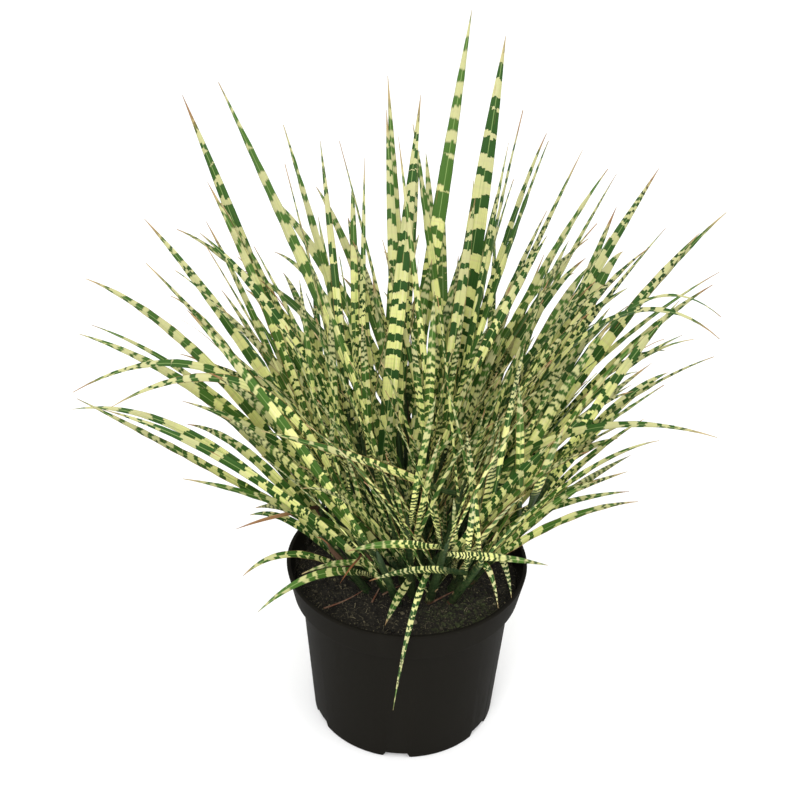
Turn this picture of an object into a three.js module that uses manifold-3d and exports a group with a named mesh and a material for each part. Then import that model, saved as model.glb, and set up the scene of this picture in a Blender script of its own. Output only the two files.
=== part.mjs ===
// A potted gold breeze miscanthus: a plain nursery pot, its compost, and a clump of leafy shoots.
// Millimetres, +Z up, with the origin on the pot's base at its centre.
import * as THREE from "three";
import { mergeVertices } from "three/addons/utils/BufferGeometryUtils.js";
import Module from "manifold-3d";

const wasm = await Module();
wasm.setup();

// Pot: a three litre nursery pot with a deep tapered collar and drain notches round its foot
const POT_HEIGHT = 145;
const COLLAR_Z = 119.5;
const RIM_RADIUS = 95;
const COLLAR_FOOT_RADIUS = 90;
const WALL_TOP_RADIUS = 83.5;
const BASE_RADIUS = 74;
const WALL = 2;
const FLOOR = 2.5;
const EDGE = 1;
const POT_SIDES = 42;
const NOTCHES = 6;
const NOTCH_FIRST = -93;
const NOTCH_FOOT_WIDTH = 24;
const NOTCH_TOP_WIDTH = 17;
const NOTCH_HEIGHT = 5.5;
const NOTCH_DEPTH = 7;
const NOTCH_PAST_WALL = 5;
const NOTCH_BELOW_BASE = 1;

// Compost: it fills the pot to a little under the rim, and rises toward the clump
const CLEARANCE = 0.3;
const SOIL_EDGE_Z = 125;
const SOIL_RISE = 6;
const SOIL_UNEVEN = 1.6;
const SWELL_OVER_X = 11;
const SWELL_OVER_Y = 13;
const RIPPLE_OVER = 6.5;
const RIPPLE_SHARE = 0.6;
const SOIL_RINGS = 3;
const SOIL_SIDES = 21;

// Clump: shoots on a sunflower spiral, all leaning out from one point below the compost
const SHOOTS = 34;
const CLUMP_CENTRE = new THREE.Vector3(9, 6, 130);
const CLUMP_RADIUS = 50;
const FAN_DEPTH = 84;
const INNER_STEM = 150;
const OUTER_STEM = 85;
const STEM_VARIES = [0.85, 1.15];
const STEM_SIDES = 5;
const STEM_FOOT_RADIUS = 3.1;
const STEM_TOP_RADIUS = 1.8;
const SHOOT_SUNK = 24;
const HOLE_SUNK = 26;
const HOLE_TOP_AT = 0.2;

// Leaf blades: a flat face over a keel, narrow at the sheath and drawn out to a long point
const STRAIGHT_LEAF_STEPS = 3;
const LEAF_STEPS = 4;
const ARCHED_LEAF_STEPS = 5;
const DROOPING_LEAF_STEPS = 7;
const STRAIGHT = 24;
const ARCHED = 45;
const DROOPING = 100;
const KEEL = 1.2;
const KEEL_PER_WIDTH = 0.04;
const KEEL_AT_TIP = 0.4;
const ROOT_SHARE = 0.4;
const WIDEST_AT = 0.35;
const TAPER = 2.2;
const LEAF_GAP = 0.5;
const CLEAR_OF_OWN_STEM = 0.25;
const ROLLED_TO_LIGHT = 0.5;

// Feature leaves: where they leave their stem, and how their shoot is chosen
const FEATURE_REACH = 0.5;
const FEATURE_ROLL = [-0.25, 0.25];
const FEATURE_TWIST = [-0.3, 0.3];
const LOWEST_FEATURE = 0.2;
const HIGHEST_FEATURE = 0.95;
const DROP_PER_RADIAN = 1.2;
const FOOT_SHARE = 0.17;
const CROWDING = 12;

// Rank leaves, which fill the clump: angles in radians, and what varies as [least, most]
const LEAVES_PER_SHOOT = 15;
const LEAVES_GIVEN_UP = 4;
const LOWEST_RANK = 0.1;
const ASIDE = [0.3, 1.4];
const ASIDE_AT_FOOT = 1.2;
const ASIDE_AT_TOP = 0.6;
const LEAN_KEPT = 0.8;
const LEAN_AT_FOOT = 0.45;
const LEAN_AT_TOP = 0.05;
const LEAN_VARIES = [-0.18, 0.22];
const MOST_LEAN = 0.95;
const FRONT_HELD = 0.5;
const FRONT_NARROWED = 0.35;
const FRONT_SHORTENED = 0.25;
const NEAREST_TIP = 120;
const FURTHEST_TIP = 365;
const REACHED_AT_FOOT = [0.1, 0.7];
const REACHED_BY_RANK = 0.45;
const DROOP_SHORTENS = 0.5;
const RANK_WIDTH = [3.5, 8];
const WIDTH_BY_REACH = 3;
const LEAST_ARCH = 0.02;
const ARCH_BY_LEAN = [0.08, 0.28];
const RANK_REACH = [0.5, 0.65];
const RANK_ROLL = [-0.5, 0.5];
const RANK_TWIST = [-0.4, 0.4];

const SEED = 20;
const MERGE_WITHIN = 1e-3;
const GOLDEN_ANGLE = Math.PI * (3 - Math.sqrt(5));
const UP = new THREE.Vector3(0, 0, 1);

// The leaves that stand out from the mass, each by its tip, its width and how far it arches above the
// straight line from root to tip. Some also give how far along that line the arch lies, how far up its
// stem the leaf grows, and the foot of that stem.
const FEATURE_LEAVES = [
  { tip: [35, 130, 545], width: 12, arch: 5, foot: [0, 25] },
  { tip: [60, 120, 530], width: 16, arch: 5, foot: [10, 28] },
  { tip: [-100, 100, 465], width: 12, arch: 5, foot: [-12, 30] },
  { tip: [0, 90, 495], width: 12, arch: 5, foot: [-7, 10] },
  { tip: [-25, 140, 490], width: 9, arch: 10 },
  { tip: [-25, 110, 475], width: 9, arch: 20 },
  { tip: [-15, 60, 475], width: 5, arch: 5 },
  { tip: [-40, 90, 445], width: 5, arch: 5 },
  { tip: [-145, 90, 500], width: 14, arch: 10, foot: [0, 12] },
  { tip: [-175, 110, 490], width: 12, arch: 15, foot: [-20, 8] },
  { tip: [-90, 60, 460], width: 5, arch: 10 },
  { tip: [-60, 120, 445], width: 4, arch: 15 },
  { tip: [-155, 100, 410], width: 6, arch: 15 },
  { tip: [-155, 60, 405], width: 6, arch: 30 },
  { tip: [-200, 60, 405], width: 10, arch: 30 },
  { tip: [-240, 30, 370], width: 12, arch: 75 },
  { tip: [-185, -20, 410], width: 10, arch: 25 },
  { tip: [-140, -40, 435], width: 7, arch: 10 },
  { tip: [-245, 10, 335], width: 9, arch: 50 },
  { tip: [-245, 50, 320], width: 6, arch: 50 },
  { tip: [-240, -40, 320], width: 9, arch: 185, reach: 0.3 },
  { tip: [-205, -80, 330], width: 9, arch: 165, reach: 0.3, share: 0.8, foot: [-18, -34] },
  { tip: [-245, -30, 295], width: 7, arch: 85, reach: 0.55 },
  { tip: [-215, -60, 315], width: 8, arch: 50, foot: [-5, -35] },
  { tip: [-230, -70, 330], width: 9, arch: 5 },
  { tip: [-160, -74, 268], width: 9, arch: 24 },
  { tip: [-120, -80, 186], width: 6, arch: 42, reach: 0.6, foot: [-38, -10] },
  { tip: [-108, -95, 165], width: 7, arch: 40, foot: [-25, -28] },
  { tip: [-77, -75, 186], width: 7, arch: 28, foot: [-18, -34] },
  { tip: [101, -90, 213], width: 6, arch: 6, share: 0.8, foot: [18, -35] },
  { tip: [-43, -90, 220], width: 7, arch: 12, share: 0.9, foot: [18, -35] },
  { tip: [-15, -80, 143], width: 6, arch: 10, share: 0.2, foot: [5, -27] },
  { tip: [-7, -122, 98], width: 5, arch: 75, reach: 0.6, share: 0.4, foot: [5, -27] },
  { tip: [69, -75, 159], width: 6, arch: 70, reach: 0.6, foot: [35, -34] },
  { tip: [79, -66, 162], width: 6, arch: 55, reach: 0.6, foot: [45, -20] },
  { tip: [-34, -95, 214], width: 6, arch: 16, share: 0.65, foot: [35, -34] },
  { tip: [79, -108, 288], width: 10, arch: 22, share: 0.1, foot: [18, -35] },
  { tip: [-98, -115, 338], width: 9, arch: 8, share: 0.95, foot: [20, -33] },
  { tip: [61, -75, 321], width: 8, arch: 5, share: 0.7, foot: [35, -20] },
  { tip: [104, -85, 329], width: 8, arch: 8, share: 0.9, foot: [50, -14] },
  { tip: [165, -60, 250], width: 8, arch: 30, share: 0.6, foot: [35, -34] },
  { tip: [165, -20, 230], width: 6, arch: 20 },
  { tip: [160, -30, 255], width: 7, arch: 15 },
  { tip: [170, -70, 355], width: 8, arch: 5 },
  { tip: [210, -80, 325], width: 10, arch: 118, reach: 0.37, foot: [28, -22] },
  { tip: [210, -30, 355], width: 7, arch: 35 },
  { tip: [210, -40, 375], width: 9, arch: 175, reach: 0.45 },
  { tip: [220, 10, 365], width: 7, arch: 165, reach: 0.42, foot: [55, 5] },
  { tip: [215, 30, 380], width: 11, arch: 40 },
  { tip: [230, 80, 365], width: 5, arch: 40 },
  { tip: [220, 70, 415], width: 12, arch: 40 },
  { tip: [180, 110, 435], width: 11, arch: 10 },
  { tip: [135, 60, 455], width: 11, arch: 35 },
  { tip: [150, 120, 425], width: 5, arch: 20 },
  { tip: [125, 140, 435], width: 6, arch: 15 },
  { tip: [70, 40, 505], width: 11, arch: 15, foot: [13, 20] },
  { tip: [65, 90, 460], width: 5, arch: 5 },
  { tip: [60, 120, 405], width: 7, arch: 5 },
  { tip: [185, 80, 400], width: 5, arch: 20 },
  { tip: [130, -20, 440], width: 5, arch: 5 },
  { tip: [205, 20, 340], width: 6, arch: 60 },
  { tip: [190, -10, 360], width: 6, arch: 40 },
  { tip: [-165, -30, 305], width: 7, arch: 35 },
  { tip: [-115, 20, 405], width: 6, arch: 5 },
  { tip: [-135, 60, 370], width: 7, arch: 10 },
];

// How a leaf is moved aside where it would meet a neighbour: turned about the clump, in degrees,
// and lifted, in millimetres
const MOVES = [
  { turn: 0, lift: 0 },
  { turn: 2, lift: 0 },
  { turn: -2, lift: 0 },
  { turn: 0, lift: 8 },
  { turn: 0, lift: -8 },
  { turn: 4, lift: 5 },
  { turn: -4, lift: 5 },
  { turn: 4, lift: -8 },
  { turn: -4, lift: -8 },
  { turn: 7, lift: 12 },
  { turn: -7, lift: 12 },
  { turn: 10, lift: -5 },
  { turn: -10, lift: -5 },
  { turn: 14, lift: 15 },
  { turn: -14, lift: 15 },
];

// A repeatable stream of numbers from 0 to 1
function randomFrom(seed) {
  let state = seed;
  return () => {
    state = (state * 1664525 + 1013904223) % 4294967296;
    return state / 4294967296;
  };
}

function between([least, most], share) {
  return least + (most - least) * share;
}

function solidFrom(geometry) {
  const bare = geometry.index ? geometry.toNonIndexed() : geometry.clone();
  bare.deleteAttribute("normal");
  bare.deleteAttribute("uv");
  const merged = mergeVertices(bare, MERGE_WITHIN);
  return new wasm.Manifold(
    new wasm.Mesh({
      numProp: 3,
      vertProperties: merged.attributes.position.array,
      triVerts: new Uint32Array(merged.index.array),
    }),
  );
}

// A solid through rings of equally many points, listed anticlockwise as seen from the far end
function solidFromRings(rings) {
  const count = rings[0].length;
  const points = rings.flat();
  const faces = [];
  for (let j = 1; j < count - 1; j++) {
    faces.push(0, j + 1, j);
  }
  for (let i = 0; i < rings.length - 1; i++) {
    for (let j = 0; j < count; j++) {
      const a = i * count + j;
      const b = i * count + ((j + 1) % count);
      faces.push(a, b, b + count, a, b + count, a + count);
    }
  }
  const last = (rings.length - 1) * count;
  for (let j = 1; j < count - 1; j++) {
    faces.push(last, last + j, last + j + 1);
  }
  return solidFromPoints(points, faces);
}

function solidFromPoints(points, faces) {
  const geometry = new THREE.BufferGeometry();
  geometry.setFromPoints(points);
  geometry.setIndex(faces);
  return solidFrom(geometry);
}

function meshFrom(solid, name, material) {
  const made = solid.getMesh();
  const geometry = new THREE.BufferGeometry();
  const positions = new THREE.BufferAttribute(new Float32Array(made.vertProperties), 3);
  geometry.setAttribute("position", positions);
  geometry.setIndex(new THREE.BufferAttribute(made.triVerts, 1));
  geometry.computeVertexNormals();
  const mesh = new THREE.Mesh(geometry, material);
  mesh.name = name;
  return mesh;
}

function revolved(profile, sides) {
  const points = profile.map(([radius, height]) => new THREE.Vector2(radius, height));
  const lathe = new THREE.LatheGeometry(points, sides);
  lathe.rotateX(Math.PI / 2);
  return solidFrom(lathe);
}

// Radius of the pot's outer wall at a height below the collar
function wallRadius(z) {
  return between([BASE_RADIUS, WALL_TOP_RADIUS], z / COLLAR_Z);
}

function makePot() {
  const pot = revolved(
    [
      [0, 0],
      [BASE_RADIUS - EDGE, 0],
      [BASE_RADIUS, EDGE],
      [WALL_TOP_RADIUS, COLLAR_Z],
      [COLLAR_FOOT_RADIUS, COLLAR_Z],
      [RIM_RADIUS, POT_HEIGHT - EDGE],
      [RIM_RADIUS - EDGE, POT_HEIGHT],
      [RIM_RADIUS - WALL - EDGE, POT_HEIGHT],
      [COLLAR_FOOT_RADIUS - WALL, COLLAR_Z + WALL],
      [WALL_TOP_RADIUS - WALL, COLLAR_Z + WALL],
      [wallRadius(FLOOR) - WALL, FLOOR],
      [0, FLOOR],
      [0, 0],
    ],
    POT_SIDES,
  );
  const outline = new THREE.Shape();
  outline.moveTo(-NOTCH_FOOT_WIDTH / 2, -NOTCH_BELOW_BASE);
  outline.lineTo(NOTCH_FOOT_WIDTH / 2, -NOTCH_BELOW_BASE);
  outline.lineTo(NOTCH_TOP_WIDTH / 2, NOTCH_HEIGHT);
  outline.lineTo(-NOTCH_TOP_WIDTH / 2, NOTCH_HEIGHT);
  outline.closePath();
  const depth = NOTCH_DEPTH + NOTCH_PAST_WALL;
  let cut = pot;
  for (let i = 0; i < NOTCHES; i++) {
    const notch = new THREE.ExtrudeGeometry(outline, { depth, bevelEnabled: false });
    notch.rotateX(Math.PI / 2);
    notch.translate(0, BASE_RADIUS + NOTCH_PAST_WALL, 0);
    notch.rotateZ(THREE.MathUtils.degToRad(NOTCH_FIRST + i * (360 / NOTCHES) - 90));
    cut = cut.subtract(solidFrom(notch));
  }
  return cut;
}

// Height of the compost: it rises toward the clump, with a few broad swells that fade at the wall
function soilTop(x, y) {
  const out = Math.min(1, Math.hypot(x, y) / (RIM_RADIUS - WALL));
  const swell = Math.sin(x / SWELL_OVER_X + 1.3) * Math.cos(y / SWELL_OVER_Y);
  const ripple = RIPPLE_SHARE * Math.sin((x - y) / RIPPLE_OVER);
  return SOIL_EDGE_Z + SOIL_RISE * (1 - out ** 2) + SOIL_UNEVEN * (swell + ripple) * (1 - out ** 4);
}

function makeSoil() {
  const base = FLOOR + CLEARANCE;
  const outer = [
    [wallRadius(base) - WALL - CLEARANCE, base],
    [WALL_TOP_RADIUS - WALL - CLEARANCE, COLLAR_Z + WALL - CLEARANCE],
    [WALL_TOP_RADIUS - WALL - CLEARANCE, COLLAR_Z + WALL + CLEARANCE],
    [COLLAR_FOOT_RADIUS - WALL - CLEARANCE, COLLAR_Z + WALL + CLEARANCE],
  ];
  const points = [new THREE.Vector3(0, 0, base)];
  const ringAt = (radius, heightAt) => {
    for (let j = 0; j < SOIL_SIDES; j++) {
      const a = (2 * Math.PI * j) / SOIL_SIDES;
      const x = radius * Math.cos(a);
      const y = radius * Math.sin(a);
      points.push(new THREE.Vector3(x, y, heightAt(x, y)));
    }
  };
  outer.forEach(([radius, z]) => ringAt(radius, () => z));
  const edge = COLLAR_FOOT_RADIUS - WALL - CLEARANCE;
  for (let i = SOIL_RINGS; i > 0; i--) {
    ringAt((edge * i) / SOIL_RINGS, soilTop);
  }
  points.push(new THREE.Vector3(0, 0, soilTop(0, 0)));
  const ringCount = outer.length + SOIL_RINGS;
  const faces = [];
  for (let j = 0; j < SOIL_SIDES; j++) {
    const next = (j + 1) % SOIL_SIDES;
    faces.push(0, 1 + next, 1 + j);
    for (let i = 0; i < ringCount - 1; i++) {
      const a = 1 + i * SOIL_SIDES + j;
      const b = 1 + i * SOIL_SIDES + next;
      faces.push(a, b, b + SOIL_SIDES, a, b + SOIL_SIDES, a + SOIL_SIDES);
    }
    const last = 1 + (ringCount - 1) * SOIL_SIDES;
    faces.push(last + j, last + next, points.length - 1);
  }
  return solidFromPoints(points, faces);
}

// One shoot's foot, its lean and the length of its stem above the compost
function planShoot(index, random) {
  const share = Math.sqrt((index + 0.5) / SHOOTS);
  const angle = index * GOLDEN_ANGLE;
  const foot = new THREE.Vector3(Math.cos(angle), Math.sin(angle), 0)
    .multiplyScalar(CLUMP_RADIUS * share)
    .add(CLUMP_CENTRE);
  const fanPoint = CLUMP_CENTRE.clone().addScaledVector(UP, -FAN_DEPTH);
  const axis = foot.clone().sub(fanPoint).normalize();
  const length = between([INNER_STEM, OUTER_STEM], share) * between(STEM_VARIES, random());
  return { foot, axis, length, leaves: [] };
}

// A point on a shoot's stem, at a share of its length above the compost
function onStem(shoot, share) {
  return shoot.foot.clone().addScaledVector(shoot.axis, shoot.length * share);
}

// A tapered rod along a shoot's stem between shares of its length, with a margin round it
function makeRod(shoot, shares, margin) {
  const side = UP.clone().cross(shoot.axis).normalize();
  const other = shoot.axis.clone().cross(side);
  const rings = shares.map((share) => {
    const radius = between([STEM_FOOT_RADIUS, STEM_TOP_RADIUS], Math.max(0, share)) + margin;
    const centre = onStem(shoot, share);
    return Array.from({ length: STEM_SIDES }, (_, j) => {
      const a = (2 * Math.PI * j) / STEM_SIDES;
      return centre
        .clone()
        .addScaledVector(side, radius * Math.cos(a))
        .addScaledVector(other, radius * Math.sin(a));
    });
  });
  return solidFromRings(rings);
}

function makeStem(shoot) {
  return makeRod(shoot, [-SHOOT_SUNK / shoot.length, 1], 0);
}

function makeHole(shoot) {
  return makeRod(shoot, [-HOLE_SUNK / shoot.length, HOLE_TOP_AT], CLEARANCE);
}

// Width of a blade at a share of its length, as a share of its greatest width
function widthShare(t) {
  if (t < WIDEST_AT) {
    return between([ROOT_SHARE, 1], Math.sin((Math.PI / 2) * (t / WIDEST_AT)));
  }
  return 1 - ((t - WIDEST_AT) / (1 - WIDEST_AT)) ** TAPER;
}

// How many lengths a blade is made of: more where it arches more
function stepsAlong(leaf) {
  if (leaf.arch > DROOPING) {
    return DROOPING_LEAF_STEPS;
  }
  if (leaf.arch > ARCHED) {
    return ARCHED_LEAF_STEPS;
  }
  return leaf.arch > STRAIGHT ? LEAF_STEPS : STRAIGHT_LEAF_STEPS;
}

// A blade along a quadratic curve from its root, or a share of the way along it, to its tip. It is
// rolled about its own length, and a margin can be left round it.
function makeLeaf(leaf, margin, from) {
  const line = leaf.tip.clone().sub(leaf.root);
  const control = leaf.root.clone().addScaledVector(line, leaf.reach).addScaledVector(UP, leaf.arch);
  const curve = new THREE.QuadraticBezierCurve3(leaf.root, control, leaf.tip);
  const side = new THREE.Vector3(-line.y, line.x, 0).normalize();
  const steps = stepsAlong(leaf);
  const rings = [];
  for (let i = 0; i < steps; i++) {
    const t = between([from, 1], i / steps);
    const centre = curve.getPoint(t);
    const along = curve.getTangent(t);
    const roll = leaf.roll + leaf.twist * t + (ROLLED_TO_LIGHT * line.x) / line.length();
    const across = side.clone().applyAxisAngle(along, roll);
    const face = along.clone().cross(across);
    const half = (leaf.width * widthShare(t)) / 2 + margin;
    const keel = (KEEL + KEEL_PER_WIDTH * leaf.width) * between([1, KEEL_AT_TIP], t) + margin;
    rings.push([
      centre.clone().addScaledVector(across, -half).addScaledVector(face, margin),
      centre.clone().addScaledVector(face, -keel),
      centre.clone().addScaledVector(across, half).addScaledVector(face, margin),
    ]);
  }
  const points = rings.flat();
  const tip = points.length;
  points.push(leaf.tip.clone());
  const faces = [0, 2, 1];
  for (let i = 0; i < steps - 1; i++) {
    for (let j = 0; j < 3; j++) {
      const a = i * 3 + j;
      const b = i * 3 + ((j + 1) % 3);
      faces.push(a, b, b + 3, a, b + 3, a + 3);
    }
  }
  for (let j = 0; j < 3; j++) {
    faces.push(tip - 3 + j, tip - 3 + ((j + 1) % 3), tip);
  }
  return solidFromPoints(points, faces);
}

// The same leaf turned about the clump's centre line and lifted at its tip
function moved(leaf, move) {
  const tip = leaf.tip
    .clone()
    .sub(leaf.root)
    .applyAxisAngle(UP, THREE.MathUtils.degToRad(move.turn))
    .add(leaf.root)
    .addScaledVector(UP, move.lift);
  return { ...leaf, tip };
}

function overlaps(solid, others) {
  const box = solid.boundingBox();
  return others.some((other) => {
    const apart = [0, 1, 2].some(
      (k) => box.min[k] > other.box.max[k] || box.max[k] < other.box.min[k],
    );
    return !apart && !solid.intersect(other.solid).isEmpty();
  });
}

// Feature leaves go to the shoot that stands nearest to where they start and has few of them yet
function shareFeatureLeaves(shoots, random) {
  for (const feature of FEATURE_LEAVES) {
    const tip = new THREE.Vector3(...feature.tip);
    const wanted = CLUMP_CENTRE.clone().addScaledVector(tip.clone().sub(CLUMP_CENTRE), FOOT_SHARE);
    if (feature.foot) {
      wanted.set(feature.foot[0], feature.foot[1], 0);
    }
    const costs = shoots.map((shoot) => {
      const apart = Math.hypot(shoot.foot.x - wanted.x, shoot.foot.y - wanted.y);
      return apart + CROWDING * shoot.leaves.length;
    });
    const shoot = shoots[costs.indexOf(Math.min(...costs))];
    const fromAxis = tip.clone().sub(shoot.foot).angleTo(shoot.axis);
    const lowered = Math.max(LOWEST_FEATURE, HIGHEST_FEATURE - DROP_PER_RADIAN * fromAxis);
    shoot.leaves.push({
      root: onStem(shoot, feature.share ?? lowered),
      tip,
      width: feature.width,
      arch: feature.arch,
      reach: feature.reach ?? FEATURE_REACH,
      roll: between(FEATURE_ROLL, random()),
      twist: between(FEATURE_TWIST, random()),
    });
  }
}

// The other leaves climb the stem in two ranks, the lower ones leaning out the most
function addRankLeaves(shoot, random) {
  const lean = shoot.axis.angleTo(UP);
  const facing = Math.atan2(shoot.axis.y, shoot.axis.x);
  const rank = random() < 0.5 ? 1 : -1;
  const count = LEAVES_PER_SHOOT - Math.min(LEAVES_GIVEN_UP, shoot.leaves.length);
  for (let j = 0; j < count; j++) {
    const share = between([LOWEST_RANK, 1], j / (count - 1));
    const side = j % 2 ? -rank : rank;
    const aside = side * between(ASIDE, random()) * between([ASIDE_AT_FOOT, ASIDE_AT_TOP], share);
    const azimuth = facing + aside;
    const rise = between([LEAN_AT_FOOT, LEAN_AT_TOP], share) + between(LEAN_VARIES, random());
    const toFront = Math.max(0, -Math.sin(azimuth));
    const held = 1 - FRONT_HELD * toFront;
    const leanOut = held * Math.min(MOST_LEAN, LEAN_KEPT * lean + rise);
    const reached = Math.min(1, between(REACHED_AT_FOOT, random()) + REACHED_BY_RANK * share);
    const distance = between([NEAREST_TIP, FURTHEST_TIP], reached) * (1 - FRONT_SHORTENED * toFront);
    const heading = new THREE.Vector3(
      Math.sin(leanOut) * Math.cos(azimuth),
      Math.sin(leanOut) * Math.sin(azimuth),
      Math.cos(leanOut),
    );
    const straight = distance * (1 - DROOP_SHORTENS * Math.sin(leanOut) ** 2);
    const width = between(RANK_WIDTH, random()) + WIDTH_BY_REACH * reached;
    shoot.leaves.push({
      root: onStem(shoot, share),
      tip: shoot.foot.clone().addScaledVector(heading, straight),
      width: width * (1 - FRONT_NARROWED * toFront),
      arch: distance * (LEAST_ARCH + between(ARCH_BY_LEAN, random()) * Math.sin(leanOut)),
      reach: between(RANK_REACH, random()),
      roll: between(RANK_ROLL, random()),
      twist: between(RANK_TWIST, random()),
    });
  }
}

const potMaterial = new THREE.MeshStandardMaterial({ color: 0x22211f, roughness: 0.7 });
const soilMaterial = new THREE.MeshStandardMaterial({ color: 0x2b241c, roughness: 1 });
const leafMaterial = new THREE.MeshStandardMaterial({ color: 0x8fae52, roughness: 0.55 });

const random = randomFrom(SEED);
const shoots = Array.from({ length: SHOOTS }, (_, index) => planShoot(index, random));
shareFeatureLeaves(shoots, random);
const featureCounts = shoots.map((shoot) => shoot.leaves.length);
shoots.forEach((shoot) => addRankLeaves(shoot, random));

const pot = makePot();
const soil = shoots.reduce((sum, shoot) => sum.subtract(makeHole(shoot)), makeSoil());

const boxed = (solid) => ({ solid, box: solid.boundingBox() });
const holder = [boxed(pot), boxed(soil)];
const stems = shoots.map((shoot) => boxed(makeStem(shoot)));
const placed = shoots.map(() => []);

// A leaf is kept at the first place where it lies clear of everything, or else left out
function placeLeaf(index, leaf) {
  const others = shoots.flatMap((_, i) => (i === index ? [] : [stems[i], ...placed[i]]));
  const place = MOVES.map((move) => moved(leaf, move)).find(
    (trial) =>
      !overlaps(makeLeaf(trial, LEAF_GAP, 0), [...holder, ...others]) &&
      !overlaps(makeLeaf(trial, LEAF_GAP, CLEAR_OF_OWN_STEM), placed[index]),
  );
  if (place) {
    placed[index].push(boxed(makeLeaf(place, 0, 0)));
  }
}

shoots.forEach((shoot, i) => {
  shoot.leaves.slice(0, featureCounts[i]).forEach((leaf) => placeLeaf(i, leaf));
});
shoots.forEach((shoot, i) => {
  shoot.leaves.slice(featureCounts[i]).forEach((leaf) => placeLeaf(i, leaf));
});

const group = new THREE.Group();
group.add(meshFrom(pot, "pot", potMaterial), meshFrom(soil, "soil", soilMaterial));
shoots.forEach((shoot, i) => {
  const solid = placed[i].reduce((sum, leaf) => sum.add(leaf.solid), stems[i].solid);
  group.add(meshFrom(solid, "shoot_" + String(i + 1).padStart(2, "0"), leafMaterial));
});

export default group;
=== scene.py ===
import math

import bmesh
import bpy
import numpy as np
from mathutils import Matrix, Vector


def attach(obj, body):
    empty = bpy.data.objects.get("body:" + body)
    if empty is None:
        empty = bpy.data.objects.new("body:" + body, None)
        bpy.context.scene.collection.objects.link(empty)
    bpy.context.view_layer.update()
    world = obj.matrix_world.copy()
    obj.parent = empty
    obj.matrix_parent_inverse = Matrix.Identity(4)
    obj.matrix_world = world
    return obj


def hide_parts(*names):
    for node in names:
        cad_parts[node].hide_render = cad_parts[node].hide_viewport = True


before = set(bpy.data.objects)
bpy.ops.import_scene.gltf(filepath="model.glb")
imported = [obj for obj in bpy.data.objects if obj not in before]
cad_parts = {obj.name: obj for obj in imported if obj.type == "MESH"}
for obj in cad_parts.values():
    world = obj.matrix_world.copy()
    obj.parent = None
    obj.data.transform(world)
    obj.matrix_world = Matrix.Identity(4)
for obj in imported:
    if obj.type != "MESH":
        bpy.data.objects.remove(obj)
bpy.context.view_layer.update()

bpy.ops.object.select_all(action="DESELECT")

# The nursery pot is one moulding of black polypropylene with a deep collar and six drain notches round its
# foot. It is turned from a disc: each ring is extruded and scaled, up the outside, over the rim and down
# the inside, and then the notches are cut and every edge is softened.
POT_SIDES = 144
POT_FOOT_RADIUS = 0.073
POT_RINGS = [
    (0.0740, 0.0010),
    (0.0835, 0.1188),
    (0.0838, 0.1195),
    (0.0900, 0.1195),
    (0.0903, 0.1210),
    (0.0948, 0.1428),
    (0.0950, 0.1440),
    (0.0940, 0.1450),
    (0.0920, 0.1450),
    (0.0915, 0.1442),
    (0.0880, 0.1215),
    (0.0815, 0.1215),
    (0.0722, 0.0025),
]
NOTCHES = 6
NOTCH_FIRST = math.radians(-93)
NOTCH_FOOT_WIDTH = 0.024
NOTCH_TOP_WIDTH = 0.017
NOTCH_HEIGHT = 0.0055
NOTCH_DEPTH = 0.007
NOTCH_OVERSHOOT = 0.002
POT_SOFT_EDGE = 0.0004
POT_BLACK = (0.0082, 0.0074, 0.0056, 1)
POT_SCUFFED = (0.0120, 0.0110, 0.0089, 1)
POT_DUST = (0.085, 0.078, 0.066, 1)
POT_DUST_HEIGHTS = (0.1255, 0.1400)
POT_DUST_GRAIN = 900.0
LEDGE_HEIGHTS = (0.1200, 0.1212)
WALL_MIDDLE = 0.0692
WALL_LEAN = 0.16


def turn_up(rings, radius, height):
    """Extrudes the selected disc through rings of (radius, height), in edit mode."""
    for next_radius, next_height in rings:
        rise = next_height - height
        bpy.ops.mesh.extrude_region_move(TRANSFORM_OT_translate={"value": (0, 0, rise)})
        scale = next_radius / radius
        bpy.ops.transform.resize(value=(scale, scale, 1), center_override=(0, 0, next_height))
        radius, height = next_radius, next_height


def choose(piece):
    """Makes a piece the only one that is selected, and the active one."""
    bpy.ops.object.select_all(action="DESELECT")
    piece.select_set(True)
    bpy.context.view_layer.objects.active = piece


def edit_all():
    """Enters edit mode with everything selected."""
    bpy.ops.object.mode_set(mode="EDIT")
    bpy.ops.mesh.select_all(action="SELECT")


def face_out(piece):
    """Merges what is double and turns every face outwards."""
    choose(piece)
    edit_all()
    bpy.ops.mesh.remove_doubles(threshold=1e-6)
    bpy.ops.mesh.normals_make_consistent(inside=False)
    bpy.ops.object.mode_set(mode="OBJECT")


def finish_modifier(piece, kind, **settings):
    """Adds one modifier with its settings and applies it."""
    bpy.context.view_layer.objects.active = piece
    modifier = piece.modifiers.new(kind.lower(), kind)
    for name, value in settings.items():
        setattr(modifier, name, value)
    bpy.ops.object.modifier_apply(modifier=modifier.name)


def smooth(piece, degrees):
    """Shades a piece smooth, but for the edges that are sharper than an angle."""
    choose(piece)
    bpy.ops.object.shade_smooth_by_angle(angle=math.radians(degrees))


bpy.ops.mesh.primitive_circle_add(vertices=POT_SIDES, radius=POT_FOOT_RADIUS, fill_type="NGON")
pot = bpy.context.object
pot.name = "nursery_pot"
edit_all()
turn_up(POT_RINGS, POT_FOOT_RADIUS, 0)
bpy.ops.object.mode_set(mode="OBJECT")
face_out(pot)

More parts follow.
